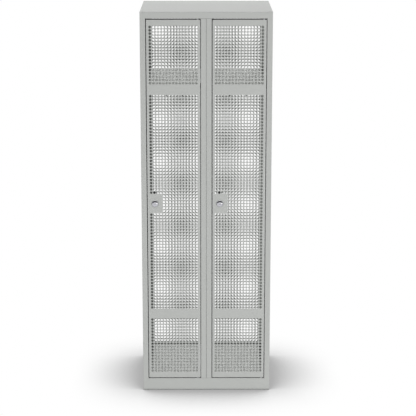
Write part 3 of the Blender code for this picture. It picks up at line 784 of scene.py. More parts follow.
@dataclass
class PerforatedSheet:
    """Flat steel sheet with round holes on a square pitch, and a larger round hole where it has one."""

    x_lines: list[float]
    z_lines: list[float]
    punched: Callable[[int, int], bool]
    front: float
    thickness: float
    hole_diameter: float = 0.0123
    hole_sides: int = 16
    round_cut: Point | None = None
    round_sides: int = 32

    def grid(self) -> Mesh:
        """Flat grid of cells with the attribute that says which are punched.

        Returns:
            The mesh, in its place.
        """
        shape = bmesh.new()
        kind = shape.faces.layers.bool.new("punched")
        rows = [[shape.verts.new((x, self.front, z)) for x in self.x_lines] for z in self.z_lines]
        for row, (below, above) in enumerate(zip(rows, rows[1:])):
            for column in range(len(self.x_lines) - 1):
                face = shape.faces.new((below[column], below[column + 1], above[column + 1], above[column]))
                face[kind] = self.punched(column, row)
        if self.round_cut:
            self.cut_round(shape)
        return plain_mesh(shape)

    def cut_round(self, shape: bmesh.types.BMesh) -> None:
        """Cut the large round hole, over whole plain cells.

        Args:
            shape: The grid.
        """
        x, z, radius = self.round_cut

        def near(place: Vector, reach: float) -> bool:
            """Whether a place lies in the square round the hole."""
            return abs(place.x - x) < reach and abs(place.z - z) < reach

        touched = [
            face for face in shape.faces
            if near(face.calc_center_median(), radius + HOLE_PITCH / 2)
            and any(near(corner.co, radius + HOLE_PITCH) for corner in face.verts)
        ]
        inner = set(touched)
        outline = [
            edge for edge in {edge for face in touched for edge in face.edges}
            if sum(face in inner for face in edge.link_faces) == 1
        ]
        bmesh.ops.delete(shape, geom=touched, context="FACES_KEEP_BOUNDARY")
        places = arc((x, z), radius, 0, 2 * HALF_TURN, self.round_sides)[:-1]
        ring = [shape.verts.new((across, self.front, up)) for across, up in places]
        hole = [shape.edges.new(pair) for pair in zip(ring, ring[1:] + ring[:1])]
        made = bmesh.ops.triangle_fill(shape, use_beauty=True, edges=outline + hole, normal=(0, -1, 0))
        for face in made["geom"]:
            if isinstance(face, bmesh.types.BMFace) and face.normal.y > 0:
                face.normal_flip()

    def build(self, punch: SheetPunch, paint: Material) -> Mesh:
        """Punch the sheet.

        Args:
            punch: The Geometry Nodes.
            paint: Its finish.

        Returns:
            The finished mesh.
        """
        values = {
            "Hole diameter": self.hole_diameter, "Hole pitch": HOLE_PITCH, "Hole sides": self.hole_sides,
            "Sheet thickness": self.thickness, "Finish": paint,
        }
        return punch.run(self.grid(), values)


@dataclass(frozen=True)
class FastenerHead:
    """Turned head that faces -Y at the origin: a low domed rivet head, unless told otherwise."""

    radius: float = 0.0032
    height: float = 0.0011
    steps: int = 16
    outline_shares: Outline = ((0, 0.8), (0.22, 0.8), (0.28, 1), (0.6, 0.86), (0.9, 0.45), (1, 0), (0, 0))
    cross_shares: Pair | None = None
    cut_shares: Pair = (1.5, 0.35)

    def mesh(self) -> Mesh:
        """Make the head.

        Returns:
            The mesh.
        """
        profile = [(self.radius * across, self.height * up) for across, up in self.outline_shares]
        body = turned(profile, self.steps)
        if self.cross_shares:
            long, thin = (self.radius * share for share in self.cross_shares)
            body = crossed(body, (long, thin), *(-self.height * share for share in self.cut_shares))
        return body


class FastenerRow(GeometryTree):
    """Geometry Nodes that set heads, such as rivets or screws, along lines at an even pitch."""

    def __init__(self) -> None:
        """Build the tree once for all rows."""
        sizes = {"Pitch": float, "Facing": Vector, "Turn seed": int}
        super().__init__("fastener_row", {**sizes, "Head": Object, "Finish": Material})
        line = self.out("GeometryNodeMeshToCurve", {"Mesh": self.value("Geometry")})
        spaced = {"Curve": line, "Length": self.value("Pitch")}
        places = self.out("GeometryNodeResampleCurve", spaced, mode="LENGTH")
        facing = self.out("FunctionNodeEulerToRotation", {0: self.value("Facing")})
        # Inputs 2 and 3 are the limits of a plain number, input 8 is the seed, and output 1 is the number.
        limits = {2: 0.0, 3: 2 * HALF_TURN, 8: self.value("Turn seed")}
        turn = self.add("FunctionNodeRandomValue", limits, data_type="FLOAT").outputs[1]
        about = self.out("FunctionNodeAxisAngleToRotation", {"Axis": (0, 1, 0), "Angle": turn})
        both = self.out("FunctionNodeRotateRotation", {0: facing, 1: about}, rotation_space="LOCAL")
        head = self.add("GeometryNodeObjectInfo", {"Object": self.value("Head")}, transform_space="ORIGINAL")
        set_heads = {"Points": places, "Instance": head.outputs["Geometry"], "Rotation": both}
        self.close(self.out("GeometryNodeInstanceOnPoints", set_heads))

    def build(
        self, lines: Sequence[tuple[Point, Point]], pitch: float, head: FastenerHead, finish: Material,
        facing: Point = (0, 0, 0), seed: int = 3,
    ) -> Mesh:
        """Set the heads.

        Args:
            lines: Start and end of each line.
            pitch: Distance between heads.
            head: One head.
            finish: Its finish.
            facing: Turn of the heads.
            seed: Seed of each head's turn about its own axis.

        Returns:
            All the heads as one mesh.
        """
        sample = linked("head_sample", head.mesh())
        values = {"Pitch": pitch, "Facing": facing, "Turn seed": seed, "Head": sample, "Finish": finish}
        made = self.run(line_mesh(lines), values)
        bpy.data.objects.remove(sample, do_unlink=True)
        return made


class WireForm(GeometryTree):
    """Geometry Nodes that draw round wire along a route."""

    def __init__(self) -> None:
        """Build the tree once for all wires."""
        super().__init__("wire_form", {"Wire radius": float, "Wire sides": int, "Finish": Material})
        line = self.out("GeometryNodeMeshToCurve", {"Mesh": self.value("Geometry")})
        ring = {"Resolution": self.value("Wire sides"), "Radius": self.value("Wire radius")}
        section = self.out("GeometryNodeCurvePrimitiveCircle", ring)
        swept = {"Curve": line, "Profile Curve": section, "Fill Caps": True}
        self.close(self.merged(self.out("GeometryNodeCurveToMesh", swept)))

    def build(self, route: Sequence[Point], radius: float, sides: int, finish: Material) -> Mesh:
        """Wire along the points of its centre line."""
        return self.run(line_mesh([route]), {"Wire radius": radius, "Wire sides": sides, "Finish": finish})


class Stock:
    """Finishes and Geometry Nodes that the sub-assemblies share.

    Its sizes bound the rooms where a paint carries painted light and shade: inside the case, and a strip
    along the doors' edges.
    """

    WALL = 0.0015
    BACK_DEPTH = 0.0034
    PAINTED_SHADE_STRIP_DEPTH = 0.0022

    def __init__(self) -> None:
        """Make them all."""
        low, high = CAD_BOX
        first = (low.x + self.WALL, FRONT_Y + DOOR_DEPTH, low.z)
        last = (high.x - self.WALL, high.y - self.BACK_DEPTH, high.z - self.WALL)
        strip = (low.x, FRONT_Y + SHEET, low.z), (high.x, FRONT_Y + self.PAINTED_SHADE_STRIP_DEPTH, high.z)
        # Painted light and shade: inside the case the coat is lighter, darker towards the side walls and on
        # upward faces; both coats darken in crevices.
        coat = PowderCoat()
        # Painted shade: the doors' frames are nearly black on the strip just behind the face, so the gaps
        # round the doors read dark.
        dark = PowderCoat(
            crevice_open=(0.45, 0.97), room_painted_shade=0.06, upward_painted_shade=1.0, painted_corner_shades=(0.06, 0.06)
        )
        # Painted shade: the back sheet is a little darker, darker still towards its left side, with a little
        # painted light towards its right.
        rear = PowderCoat(room_painted_shade=0.92, upward_painted_shade=1.0, painted_corner_shades=(0.54, 1.05))
        self.case_paint = coat.build("case_powder_coat", (first, last))
        self.door_paint = coat.build("door_powder_coat")
        self.frame_paint_with_painted_shade = dark.build("frame_powder_coat_painted_shade", strip)
        self.back_paint = rear.build("back_powder_coat", (low, high))
        self.zinc = ZincPlate().build("bright_zinc")
        self.black = ZincPlate(colour=(0.050, 0.050, 0.053), roughness=(0.58, 0.42)).build("black_zinc")
        self.rubber = BufferRubber().build("buffer_rubber")
        self.punch, self.row, self.wires = SheetPunch(), FastenerRow(), WireForm()


@dataclass
class Assembly:
    """Sub-assembly, with what it shares with the others."""

    stock: Stock


@dataclass
class SideAssembly(Assembly):
    """Sub-assembly of one compartment."""

    side: Side

    def of(self, name: str) -> str:
        """Name of this side's body, node or piece."""
        return f"{name}_{self.side.value}"


@dataclass
class Door(SideAssembly):
    """One door: perforated face, with the finishes of its frame and pivots."""

    side_margin: float = 0.010
    end_margin: float = 0.0275
    columns: int = 15
    end_rows: int = 18
    band_rows: int = 3
    middle_rows: int = 68
    patch_columns: int = 4
    patch_rows: int = 6
    lock_inset: float = 0.035
    lock_hole: float = 0.0098
    edge_radius: float = 0.0008
    edge_steps: int = 3
    edge_inset: float = 0.0011
    top_inset: float = 0.0030

    @property
    def rows(self) -> int:
        """Rows of cells between the margins."""
        return 2 * (self.end_rows + self.band_rows) + self.middle_rows

    def punched(self, column: int, row: int) -> bool:
        """Whether a cell has a hole.

        Args:
            column: Cell's number from the left, the margin's being 0.
            row: Cell's number from the bottom, the margin's being 0.

        Returns:
            True for a hole.
        """
        column, row = column - 1, row - 1
        from_end = min(row, self.rows - 1 - row)
        if not 0 <= column < self.columns or from_end < 0:
            return False
        in_band = self.end_rows <= from_end < self.end_rows + self.band_rows
        from_middle = abs(row - (self.rows - 1) / 2)
        return not in_band and not (column < self.patch_columns and from_middle < self.patch_rows / 2)

    def build(self) -> None:
        """Make the door's face and dress its CAD nodes."""
        of, inset, stock = self.of, self.edge_inset, self.stock
        low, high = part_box(of("door_skin"))
        first, last = low + Vector((inset, 0, inset)), high - Vector((inset, 0, self.top_inset))
        x_lines = [first.x, *steps_from(low.x + self.side_margin, HOLE_PITCH, self.columns), last.x]
        z_lines = [first.z, *steps_from(low.z + self.end_margin, HOLE_PITCH, self.rows), last.z]
        lock = low.x + self.lock_inset, (low.z + high.z) / 2, self.lock_hole
        sheet = PerforatedSheet(x_lines, z_lines, self.punched, low.y, high.y - low.y, round_cut=lock)
        mesh = sheet.build(stock.punch, stock.door_paint)
        self.soften(mesh, first, last)
        add_piece(of("door_face"), mesh, of("door"), of("door_skin"))
        # The frame's coat has a painted shade: a nearly black strip just behind the face, seen in the gaps.
        dress(stock.frame_paint_with_painted_shade, of("door_frame"))
        dress(stock.zinc, of("pivot_pin_top"), of("pivot_pin_bottom"), of("pivot_washer"))

    def soften(self, mesh: Mesh, low: Vector, high: Vector) -> None:
        """Round the front edges of the face.

        Args:
            mesh: Finished face.
            low: Its lowest corner.
            high: Its highest corner.
        """
        sides = [(axis, corner[axis]) for axis in (0, 2) for corner in (low, high)]
        shape = bmesh.new()
        shape.from_mesh(mesh)
        rim = []
        for edge in shape.edges:
            ends = [corner.co for corner in edge.verts]
            at_front = max(end.y for end in ends) < low.y + MERGE
            if at_front and any(max(abs(end[axis] - side) for end in ends) < MERGE for axis, side in sides):
                rim.append(edge)
        bmesh.ops.bevel(
            shape, geom=rim, offset=self.edge_radius, segments=self.edge_steps, profile=0.5, affect="EDGES"
        )
        shape.to_mesh(mesh)
        shape.free()


@dataclass
class BackPanel(Assembly):
    """Perforated back sheet behind both compartments, with its rivets."""

    side_margin: float = 0.0362
    top_margin: float = 0.0437
    columns: int = 15
    rows: int = 112
    hole_sides: int = 12
    rivet_inset: float = 0.0072
    rivet_pitch: float = 0.150
    top_row_drop: float = 0.0144
    top_row_inset: float = 0.0288

    def punched(self, column: int, row: int) -> bool:
        """Whether a cell has a hole: all but the margins and the middle strip."""
        return column % (self.columns + 1) > 0 and 0 < row <= self.rows

    def build(self) -> None:
        """Make the sheet and its rivets."""
        low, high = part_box("back_panel")
        left = steps_from(low.x + self.side_margin, HOLE_PITCH, self.columns)
        right = [-x for x in reversed(left)]
        bottom = high.z - self.top_margin - self.rows * HOLE_PITCH
        x_lines = [low.x, *left, *right, high.x]
        z_lines = [low.z, *steps_from(bottom, HOLE_PITCH, self.rows), high.z]
        size = low.y, high.y - low.y
        sheet = PerforatedSheet(x_lines, z_lines, self.punched, *size, hole_sides=self.hole_sides)
        mesh = sheet.build(self.stock.punch, self.stock.back_paint)
        add_piece("back_sheet", mesh, "case", "back_panel")
        inset, end, top = self.rivet_inset, self.rivet_pitch / 2, high.z - self.top_row_drop
        lines = [((x, low.y, low.z + end), (x, low.y, high.z - end)) for x in (low.x + inset, high.x - inset)]
        lines.append(((low.x + self.top_row_inset, low.y, top), (high.x - self.top_row_inset, low.y, top)))
        rivets = self.stock.row.build(lines, self.rivet_pitch, FastenerHead(), self.stock.back_paint)
        add_piece("back_rivets", rivets, "case")


@dataclass
class CamLock(SideAssembly):
    """Cam lock: dished flange, threaded barrel, turning plug with its key slot, nut, cam and screw."""

    steps: int = 48
    pocket_inner: float = 0.0055
    pocket_outer: float = 0.0134
    pocket_depth: float = 0.0008
    pocket_shallow: float = -0.0010
    pocket_rise_from: float = -0.3
    pocket_rise_over: float = 0.9
    pocket_edge: Outline = ((0, -0.0006), (0.0002, -0.0002), (0.0005, 0))
    cap: float = 0.0005
    bore: float = 0.0083
    rim: float = 0.0154
    rim_edge: Outline = ((-0.0009, 0), (-0.0004, -0.0003), (-0.0001, -0.0009), (0, -0.0014))
    painted_shade_lap: float = 0.0004
    lip: float = 0.0033
    thread_start: float = 0.0006
    thread_radius: float = 0.0095
    thread_depth: float = 0.0004
    thread_pitch: float = 0.001
    plug_radius: float = 0.008
    plug_face: float = 0.0008
    plug_edge: Outline = ((-0.0012, 0), (-0.0005, -0.0002), (-0.0001, -0.0005), (0, -0.0009))
    slot_width: float = 0.0015
    slot_length: float = 0.0070
    slot_depth: float = 0.006
    nut_radius: float = 0.0139
    nut_chamfer: float = 0.0009
    cam_width: float = 0.020
    cam_reach: float = 0.056
    cam_corner: float = 0.004
    cam_edge: float = 0.0003
    cam_bore: float = 0.0028
    screw_steps: int = 32
    screw_shank: float = 0.0025
    screw_radius: float = 0.005
    screw_head: float = 0.003
    screw_edge: Outline = ((0, 0.0016), (-0.0005, 0.0007), (-0.0015, 0.0002), (-0.003, 0))
    screw_cross: Pair = (0.0028, 0.0005)
    screw_cut: float = 0.0016
    overrun: float = 0.001

    def __post_init__(self) -> None:
        """Take the point where the lock's axis meets the door's face from the model."""
        low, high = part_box(self.of("lock_barrel"))
        self.centre = (low.x + high.x) / 2, FRONT_Y, (low.z + high.z) / 2

    def build(self) -> None:
        """Make the lock's pieces."""
        of, zinc = self.of, self.stock.zinc
        chrome = LockChrome().build(of("lock_chrome"), self.centre)
        # The flange's chrome carries a painted crescent shade and painted highlights round its pocket,
        # lapping a little past its rim.
        pocket = self.pocket_inner - MERGE, self.pocket_outer + self.painted_shade_lap
        flange_chrome = LockChrome().build(of("lock_flange_chrome"), self.centre, pocket)
        parts = (
            ("lock_flange", self.barrel, "door", Slot.CHROME, "lock_barrel", flange_chrome),
            ("lock_cylinder", self.plug, "lock", Slot.CHROME, "lock_plug", chrome),
            ("lock_ring_nut", self.nut, "door", Slot.ZINC, "lock_nut", zinc),
            ("lock_tongue", self.cam, "lock", Slot.ZINC, "lock_cam", self.stock.black),
            ("lock_screw", self.screw, "lock", Slot.ZINC, "cam_screw", zinc),
        )
        for name, make, body, slot, node, finish in parts:
            add_piece(of(name), make(*self.ends(node)), of(body), of(node), finish)

    def ends(self, node: str) -> tuple[float, ...]:
        """Front and rear end of a CAD node, as distances behind the door's face."""
        return tuple(corner.y - FRONT_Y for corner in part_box(self.of(node)))

    def solid(self, profile: Outline, steps: int = 0) -> Mesh:
        """Solid turned round the lock's axis, with the usual number of facets unless another is given."""
        return turned(profile, steps or self.steps, self.centre)

    def barrel(self, _: float, rear: float) -> Mesh:
        """Flange, pocket and thread in one turned piece, with a pocket that runs out towards its foot.

        Args:
            _: Front end, which the flange's own sizes replace.
            rear: Rear end.

        Returns:
            The mesh.
        """
        behind = -self.pocket_depth - self.cap
        crest, root = self.thread_radius, self.thread_radius - self.thread_depth
        profile = [
            (self.pocket_inner, -self.pocket_depth), (self.pocket_outer, -self.pocket_depth),
            *beside((self.pocket_outer, self.lip), self.pocket_edge),
            *beside((self.rim, self.lip), self.rim_edge), (self.rim, SEAT_GAP), (crest, SEAT_GAP),
        ]
        place = -self.thread_start
        while place - self.thread_pitch > -rear:
            profile += [(crest, place), (root, place - self.thread_pitch / 2)]
            place -= self.thread_pitch
        profile += [(crest, place), (root, -rear), (self.bore, -rear), (self.bore, behind)]
        profile.append((self.pocket_inner, behind))
        mesh = turned(profile, self.steps, closed=True)
        rise = self.pocket_depth - self.pocket_shallow
        for corner in mesh.vertices:
            radius = math.hypot(corner.co.x, corner.co.z)
            if abs(corner.co.y - self.pocket_depth) < MERGE and radius < self.pocket_outer + MERGE:
                share = (corner.co.z / radius - self.pocket_rise_from) / self.pocket_rise_over
                share = min(1.0, max(0.0, share))
                corner.co.y = self.pocket_shallow + rise * share * share * (3 - 2 * share)
        mesh.transform(Matrix.Translation(self.centre))
        return mesh

    def plug(self, _: float, rear: float) -> Mesh:
        """Turning plug with its key slot.

        Args:
            _: Front end, which the plug's own sizes replace.
            rear: Rear end.

        Returns:
            The mesh.
        """
        nose, shoulder = self.pocket_inner - SEAT_GAP, -self.pocket_depth - self.cap - SEAT_GAP
        profile = [
            (0, self.plug_face), *beside((nose, self.plug_face), self.plug_edge), (nose, shoulder),
            (self.plug_radius, shoulder), (self.plug_radius, -rear), (0, -rear),
        ]
        across, up = self.slot_width / 2, self.slot_length / 2
        slot = block((-across, -2 * self.plug_face, -up), (across, self.slot_depth, up), self.centre)
        return carved(self.solid(profile), slot)

    def nut(self, front: float, rear: float) -> Mesh:
        """Hexagon nut with chamfered corners.

        Args:
            front: Front face.
            rear: Rear face.

        Returns:
            The mesh.
        """
        radius, cut, hole = self.nut_radius, self.nut_chamfer, self.thread_radius + SEAT_GAP
        hexagon = self.solid([(0, -front), (radius, -front), (radius, -rear), (0, -rear)], steps=6)
        disc = [
            (0, -front + cut), (radius - 2 * cut, -front + cut), (radius + cut, -front - cut),
            (radius + cut, -rear + cut), (radius - 2 * cut, -rear - cut), (0, -rear - cut),
        ]
        blank = carved(hexagon, self.solid(disc), "INTERSECT")
        bore = [(0, -front + cut), (hole, -front + cut), (hole, -rear - cut), (0, -rear - cut)]
        return carved(blank, self.solid(bore))

    def cam(self, front: float, rear: float) -> Mesh:
        """Cam plate with softened edges, pointing up.

        Args:
            front: Front face.
            rear: Rear face.

        Returns:
            The mesh.
        """
        half, corner = self.cam_width / 2, self.cam_corner
        outline = arc((0, 0), half, HALF_TURN, HALF_TURN, self.steps // 3)
        for across, start in ((half - corner, 0.0), (corner - half, QUARTER_TURN)):
            outline += arc((across, self.cam_reach - corner), corner, start, QUARTER_TURN, self.steps // 8)
        shape = bmesh.new()
        x, y, z = self.centre
        face = shape.faces.new([shape.verts.new((x + across, y + front, z + up)) for across, up in outline])
        moved = bmesh.ops.extrude_face_region(shape, geom=[face])["geom"]
        rear_corners = [item for item in moved if isinstance(item, bmesh.types.BMVert)]
        bmesh.ops.translate(shape, verts=rear_corners, vec=(0, rear - front, 0))
        bmesh.ops.recalc_face_normals(shape, faces=shape.faces)
        rim = [edge for edge in shape.edges if abs(edge.verts[0].co.y - edge.verts[1].co.y) < MERGE]
        bmesh.ops.bevel(shape, geom=rim, offset=self.cam_edge, segments=2, profile=0.5, affect="EDGES")
        ahead, behind = self.overrun - front, -self.overrun - rear
        bore = [(0, ahead), (self.cam_bore, ahead), (self.cam_bore, behind), (0, behind)]
        return carved(plain_mesh(shape), self.solid(bore, self.steps // 2))

    def screw(self, front: float, rear: float) -> Mesh:
        """Pan head screw with a cross recess, seen from behind the door.

        Args:
            front: Shank's end.
            rear: Head's end.

        Returns:
            The mesh.
        """
        seat = self.screw_head - rear
        profile = [
            (0, -front), (self.screw_shank, -front), (self.screw_shank, seat), (self.screw_radius, seat),
            *beside((self.screw_radius, -rear), self.screw_edge), (0, -rear),
        ]
        ends = rear - self.screw_cut, rear + self.overrun
        return crossed(self.solid(profile, self.screw_steps), self.screw_cross, *ends, self.centre)


@dataclass
class CoatRail(SideAssembly):
    """Coat rail of one compartment, with its screwed sockets and two sliding hooks."""

    steps: int = 40
    tube_wall: float = 0.0012
    soft: float = 0.0003
    plate: float = 0.002
    plate_radius: float = 0.020
    plate_edge: Outline = ((-0.0008, 0), (-0.0002, -0.0003), (0, -0.0009))
    cup_wall: float = 0.002
    cup_edge: float = 0.0006
    cup_fillet: float = 0.0008
    screw_offset: float = 0.0163
    screw_seed: int = 5
    screw: FastenerHead = FastenerHead(
        radius=0.0024, height=0.0011, steps=20, cross_shares=(0.55, 0.12),
        outline_shares=((0, 1), (0.55, 1), (0.82, 0.85), (0.96, 0.55), (1, 0.2), (1, 0), (0, 0)),
    )
    wire: float = 0.0022
    wire_sides: int = 14
    wrap_start: float = math.radians(-50)
    wrap: float = math.radians(250)
    bend_share: float = 0.55
    bend_steps: int = 10
    stem_steps: int = 4
    stem_gap: float = 0.0085
    drop: float = 0.036
    throat: float = 0.009
    tip_rise: float = 0.008
    tip_radius: float = 0.0036
    tip_steps: int = 12

    def __post_init__(self) -> None:
        """Take the rail's radius and a point on its axis from the model."""
        low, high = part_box(self.of("coat_rail"))
        self.radius = (high.z - low.z) / 2
        self.axis = 0.0, (low.y + high.y) / 2, (low.z + high.z) / 2

    def build(self) -> None:
        """Make the rail, sockets, screws and hooks."""
        node = self.of("coat_rail")
        low, high = (corner.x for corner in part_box(node))
        radius, inner, soft = self.radius, self.radius - self.tube_wall, self.soft
        tube = [(inner, high), (radius - soft, high), (radius, high - soft)]
        tube += [(radius, low + soft), (radius - soft, low), (inner, low)]
        rail = turned(tube, self.steps, self.axis, (1, 0, 0), closed=True)
        add_piece(self.of("hanging_rail"), rail, "case", node, self.stock.zinc)
        for letter, way in (("a", 1), ("b", -1)):
            self.socket(letter, way)
        for letter in ("a", "b"):
            self.hook(letter)

    def socket(self, letter: str, way: int) -> None:
        """Flanged socket on a wall, with two screws.

        Args:
            letter: Which socket.
            way: 1 where it faces +X, and -1 where it faces -X.
        """
        node, zinc = f"{self.of('rail_socket')}_{letter}", self.stock.zinc
        low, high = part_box(node)
        at = low.x if way > 0 else high.x, self.axis[1], self.axis[2]
        deep, plate, bore = high.x - low.x, self.plate, self.radius + SEAT_GAP
        cup = bore + self.cup_wall
        profile = [
            (0, plate), (bore, plate), (bore, deep - self.soft), (bore + self.soft, deep),
            (cup - self.cup_edge, deep), (cup, deep - self.cup_edge), (cup, plate + self.cup_fillet),
            (cup + self.cup_fillet, plate), *beside((self.plate_radius, plate), self.plate_edge),
            (self.plate_radius, 0), (0, 0),
        ]
        socket = turned(profile, self.steps, at, (way, 0, 0))
        add_piece(f"{self.of('rail_cup')}_{letter}", socket, "case", node, zinc)
        ends = [(at[0] + way * plate, at[1] + sign * self.screw_offset, at[2]) for sign in (-1, 1)]
        facing = (0, 0, way * QUARTER_TURN)
        heads = self.stock.row.build([ends], math.dist(*ends), self.screw, zinc, facing, self.screw_seed)
        add_piece(f"{self.of('rail_cup_screws')}_{letter}", heads, "case")

    def hook(self, letter: str) -> None:
        """One dark wire hook with a rubber ball on its tip.

        Args:
            letter: Which hook.
        """
        body = f"{self.of('hook')}_{letter}"
        node = f"coat_{body}"
        low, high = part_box(node)
        route = [((low.x + high.x) / 2, self.axis[1] + y, self.axis[2] + z) for y, z in self.route()]
        wire = self.stock.wires.build(route, self.wire, self.wire_sides, self.stock.black)
        add_piece(f"wire_{body}", wire, body, node)
        profile = arc((0, 0), self.tip_radius, QUARTER_TURN, -HALF_TURN, self.tip_steps)
        profile[0], profile[-1] = (0, self.tip_radius), (0, -self.tip_radius)
        ball = turned(profile, self.steps // 2, route[-1], (0, 0, 1))
        add_piece(f"{self.of('hook_tip')}_{letter}", ball, body, finish=self.stock.rubber)

    def route(self) -> list[Pair]:
        """Centre line of a hook, as Y and Z from the rail's axis: over the rail, down, and round forwards.

        Returns:
            The points.
        """
        ring = self.radius + SEAT_GAP + self.wire
        over = arc((0, 0), ring, self.wrap_start, self.wrap, self.steps)
        last, top = Vector(over[-1]), Vector((0, -ring - self.stem_gap))
        heading = Vector((-last.y, last.x)).normalized()
        handle = (top - last).length * self.bend_share
        corners = last, last + heading * handle, top + Vector((0, handle)), top
        bend = interpolate_bezier(*corners, self.bend_steps + 1)[1:-1]
        low = self.throat + self.wire - self.radius - self.drop
        stem = [(0.0, z) for z in steps_from(top.y, (low - top.y) / self.stem_steps, self.stem_steps - 1)]
        throat = arc((-self.throat, low), self.throat, 0, -HALF_TURN, self.steps // 2)
        return [*over, *map(tuple, bend), *stem, *throat, (-2 * self.throat, low + self.tip_rise)]


@dataclass
class DoorBuffer(SideAssembly):
    """Rubber buffer with a domed face on the stop lip."""

    end: str
    dome: float = 0.0004
    dome_shares: Outline = ((0.5, 0.12), (0.8, 0.5), (0.95, 1), (1, 2))
    steps: int = 28

    def build(self) -> None:
        """Make the buffer."""
        node = self.of(f"door_buffer_{self.end}")
        low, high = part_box(node)
        radius, thick = (high.x - low.x) / 2, high.y - low.y
        face = [(radius * across, thick - self.dome * back) for across, back in self.dome_shares]
        centre = ((low.x + high.x) / 2, high.y, (low.z + high.z) / 2)
        mesh = turned([(0, thick), *face, (radius, 0), (0, 0)], self.steps, centre)
        name = self.of(f"rubber_buffer_{self.end}")
        add_piece(name, mesh, "case", node, self.stock.rubber)


@dataclass
class Case(Assembly):
    """Folded sheet carcass: its CAD nodes carry the paint, and fills close the joints of its front frame."""

    nodes: tuple[str, ...] = ("roof_panel", "base_tray")
    paired_nodes: tuple[str, ...] = ("side_panel", "partition", "hat_shelf")
    fold: float = 0.0021
    recess: float = 0.00006
    seam_depth: float = 0.0015
    seam_width: float = 0.0009
    lap: float = 0.0015

    def build(self) -> None:
        """Dress the carcass and fill the joints."""
        paint = self.stock.case_paint
        dress(paint, *self.nodes, *(f"{node}_{side.value}" for side in Side for node in self.paired_nodes))
        shape = bmesh.new()
        for low, high in self.fills():
            shape.from_mesh(block(low, high))
        add_piece("frame_welds", plain_mesh(shape), "case", finish=paint)

    def fills(self) -> list[tuple[Point, Point]]:
        """Fills of the joints between posts, header, base and middle post.

        Returns:
            Lowest and highest corner of each fill.
        """
        roof_low, roof_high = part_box("roof_panel")
        wall_low, wall_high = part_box("partition_left")
        opening, plinth = roof_low.z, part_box("base_tray")[1].z
        corners = (vertex.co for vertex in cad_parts["side_panel_right"].data.vertices)
        edge = min(abs(place.x) for place in corners if place.y < FRONT_Y + MERGE)
        front, rear = FRONT_Y + self.recess, FRONT_Y + SHEET
        made = []
        for sign in (-1, 1):
            left, right = sorted((sign * (edge - self.fold), sign * (edge + SEAT_GAP)))
            for bottom, top in ((opening, roof_high.z), (0.0, plinth)):
                made.append(((left, front, bottom + self.fold), (right, rear, top - self.fold)))
        half, lap, seam, behind = self.seam_width, self.lap, FRONT_Y + self.seam_depth, rear + SEAT_GAP / 3
        made.append(((-half, seam, plinth + SEAT_GAP), (half, seam + SHEET, wall_high.z)))
        made.append(((wall_low.x, behind, opening - lap), (-wall_low.x, behind + SEAT_GAP, opening + lap)))
        return made


@dataclass(frozen=True)
class Softbox:
    """Soft rectangular lamp."""

    name: str
    at: Point
    target: Point
    width: float
    height: float
    power: float
    shadow: bool = True

    def build(self) -> None:
        """Hang the lamp."""
        light = bpy.data.lights.new(self.name, "AREA")
        light.use_shadow = self.shadow
        light.shape = "RECTANGLE"
        light.size, light.size_y = self.width, self.height
        light.energy = self.power
        item = linked(self.name, light)
        Studio.aim(item, self.at, self.target)
        item.visible_glossy = item.visible_camera = False


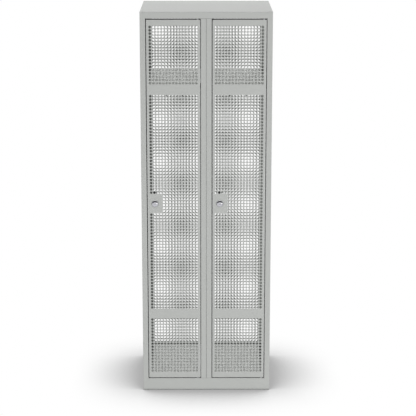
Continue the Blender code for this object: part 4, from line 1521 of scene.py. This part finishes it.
@dataclass
class Studio:
    """Pale floor with a painted shadow, even soft light and the camera."""

    camera_at: Point = (-0.013, -6.918, 2.520)
    aim_at: Point = (0.0078, -0.248, 0.894)
    lens: float = 128.2
    sensor: float = 36.0
    floor_size: float = 60.0
    floor_colour: float = 0.68
    # Painted shadow of the floor: its reach, its samples, and the occlusion and glow at its ends.
    shadow_reach: float = 0.36
    shadow_samples: int = 16
    shadow_ends: Pair = (0.54, 0.97)
    shadow_level: float = 0.413
    world_light: float = 0.50
    lamps: tuple[Softbox, ...] = (
        Softbox("front_softbox", (0.4, -5.2, 0.8), (0, 0, 0.7), 2.4, 1.4, 58.0),
        Softbox("front_fill", (0.4, -5.2, 0.8), (0, 0, 0.7), 2.4, 1.4, 26.0, shadow=False),
        Softbox("right_softbox", (4.2, -4.4, 0.9), (0, 0, 0.7), 2.0, 1.6, 73.0),
        Softbox("rear_fill", (-0.8, 6.0, 3.8), (0, 0, 0.9), 5.0, 3.0, 330.0, shadow=False),
        Softbox("top_fill", (-0.4, 2.5, 5.0), (0, 0, 1.8), 3.0, 3.0, 44.0, shadow=False),
    )

    def build(self) -> None:
        """Set up floor, light and camera."""
        self.world()
        self.floor()
        for lamp in self.lamps:
            lamp.build()
        self.camera()
        bpy.context.scene.view_settings.view_transform = "Standard"

    @staticmethod
    def aim(item: Object, at: Point, target: Point) -> None:
        """Put a lamp or camera in its place, and turn it to its target."""
        item.location = at
        item.rotation_euler = (Vector(target) - Vector(at)).to_track_quat("-Z", "Y").to_euler()

    def world(self) -> None:
        """Even white light, seen as white by the camera and in reflections."""
        world = bpy.data.worlds.new("studio")
        bpy.context.scene.world = world
        world.use_nodes = True
        graph = NodeGraph(world.node_tree)
        sky = graph.tree.nodes["Background"].inputs
        graph.feed(sky["Color"], (1, 1, 1, 1))
        graph.feed(sky["Strength"], graph.spread(graph.seen_ray(), self.world_light, 1.0))

    def floor(self) -> None:
        """Pale floor that shows seen rays a painted shadow: white where it is open, darker where the locker
        hides the sky from it.
        """
        shape = bmesh.new()
        bmesh.ops.create_grid(shape, x_segments=1, y_segments=1, size=self.floor_size / 2)
        item = linked("studio_floor", plain_mesh(shape))
        graph = ShaderGraph("studio_floor")
        grey = (self.floor_colour, self.floor_colour, self.floor_colour, 1)
        graph.surface(Base_Color=grey, Roughness=1.0, Specular_IOR_Level=0.0)
        # Painted shadow: a glow for seen rays, dimmer where ambient occlusion finds the locker near.
        open_sky = graph.openness(self.shadow_reach, self.shadow_samples)
        shade = graph.spread(open_sky, self.shadow_level, 1.0, self.shadow_ends)
        painted_shadow_glow = graph.out("ShaderNodeEmission", {"Strength": shade})
        mixed = graph.out("ShaderNodeMixShader", {0: graph.seen_ray(), 1: graph.shader.outputs[0], 2: painted_shadow_glow})
        graph.feed(graph.tree.nodes["Material Output"].inputs["Surface"], mixed)
        item.data.materials.append(graph.material)

    def camera(self) -> None:
        """Camera at the photograph's angle."""
        data = bpy.data.cameras.new("photo_camera")
        data.lens = self.lens
        data.sensor_width = self.sensor
        item = linked("photo_camera", data)
        self.aim(item, self.camera_at, self.aim_at)
        bpy.context.scene.camera = item


def main() -> None:
    """Build the locker's look and its studio."""
    logging.basicConfig(level=logging.INFO, format="%(message)s")
    stock = Stock()
    Case(stock).build()
    BackPanel(stock).build()
    for side in Side:
        Door(stock, side).build()
        CamLock(stock, side).build()
        CoatRail(stock, side).build()
        for end in ("top", "bottom"):
            DoorBuffer(stock, side, end).build()
    Studio().build()


if __name__ == "__main__":
    main()
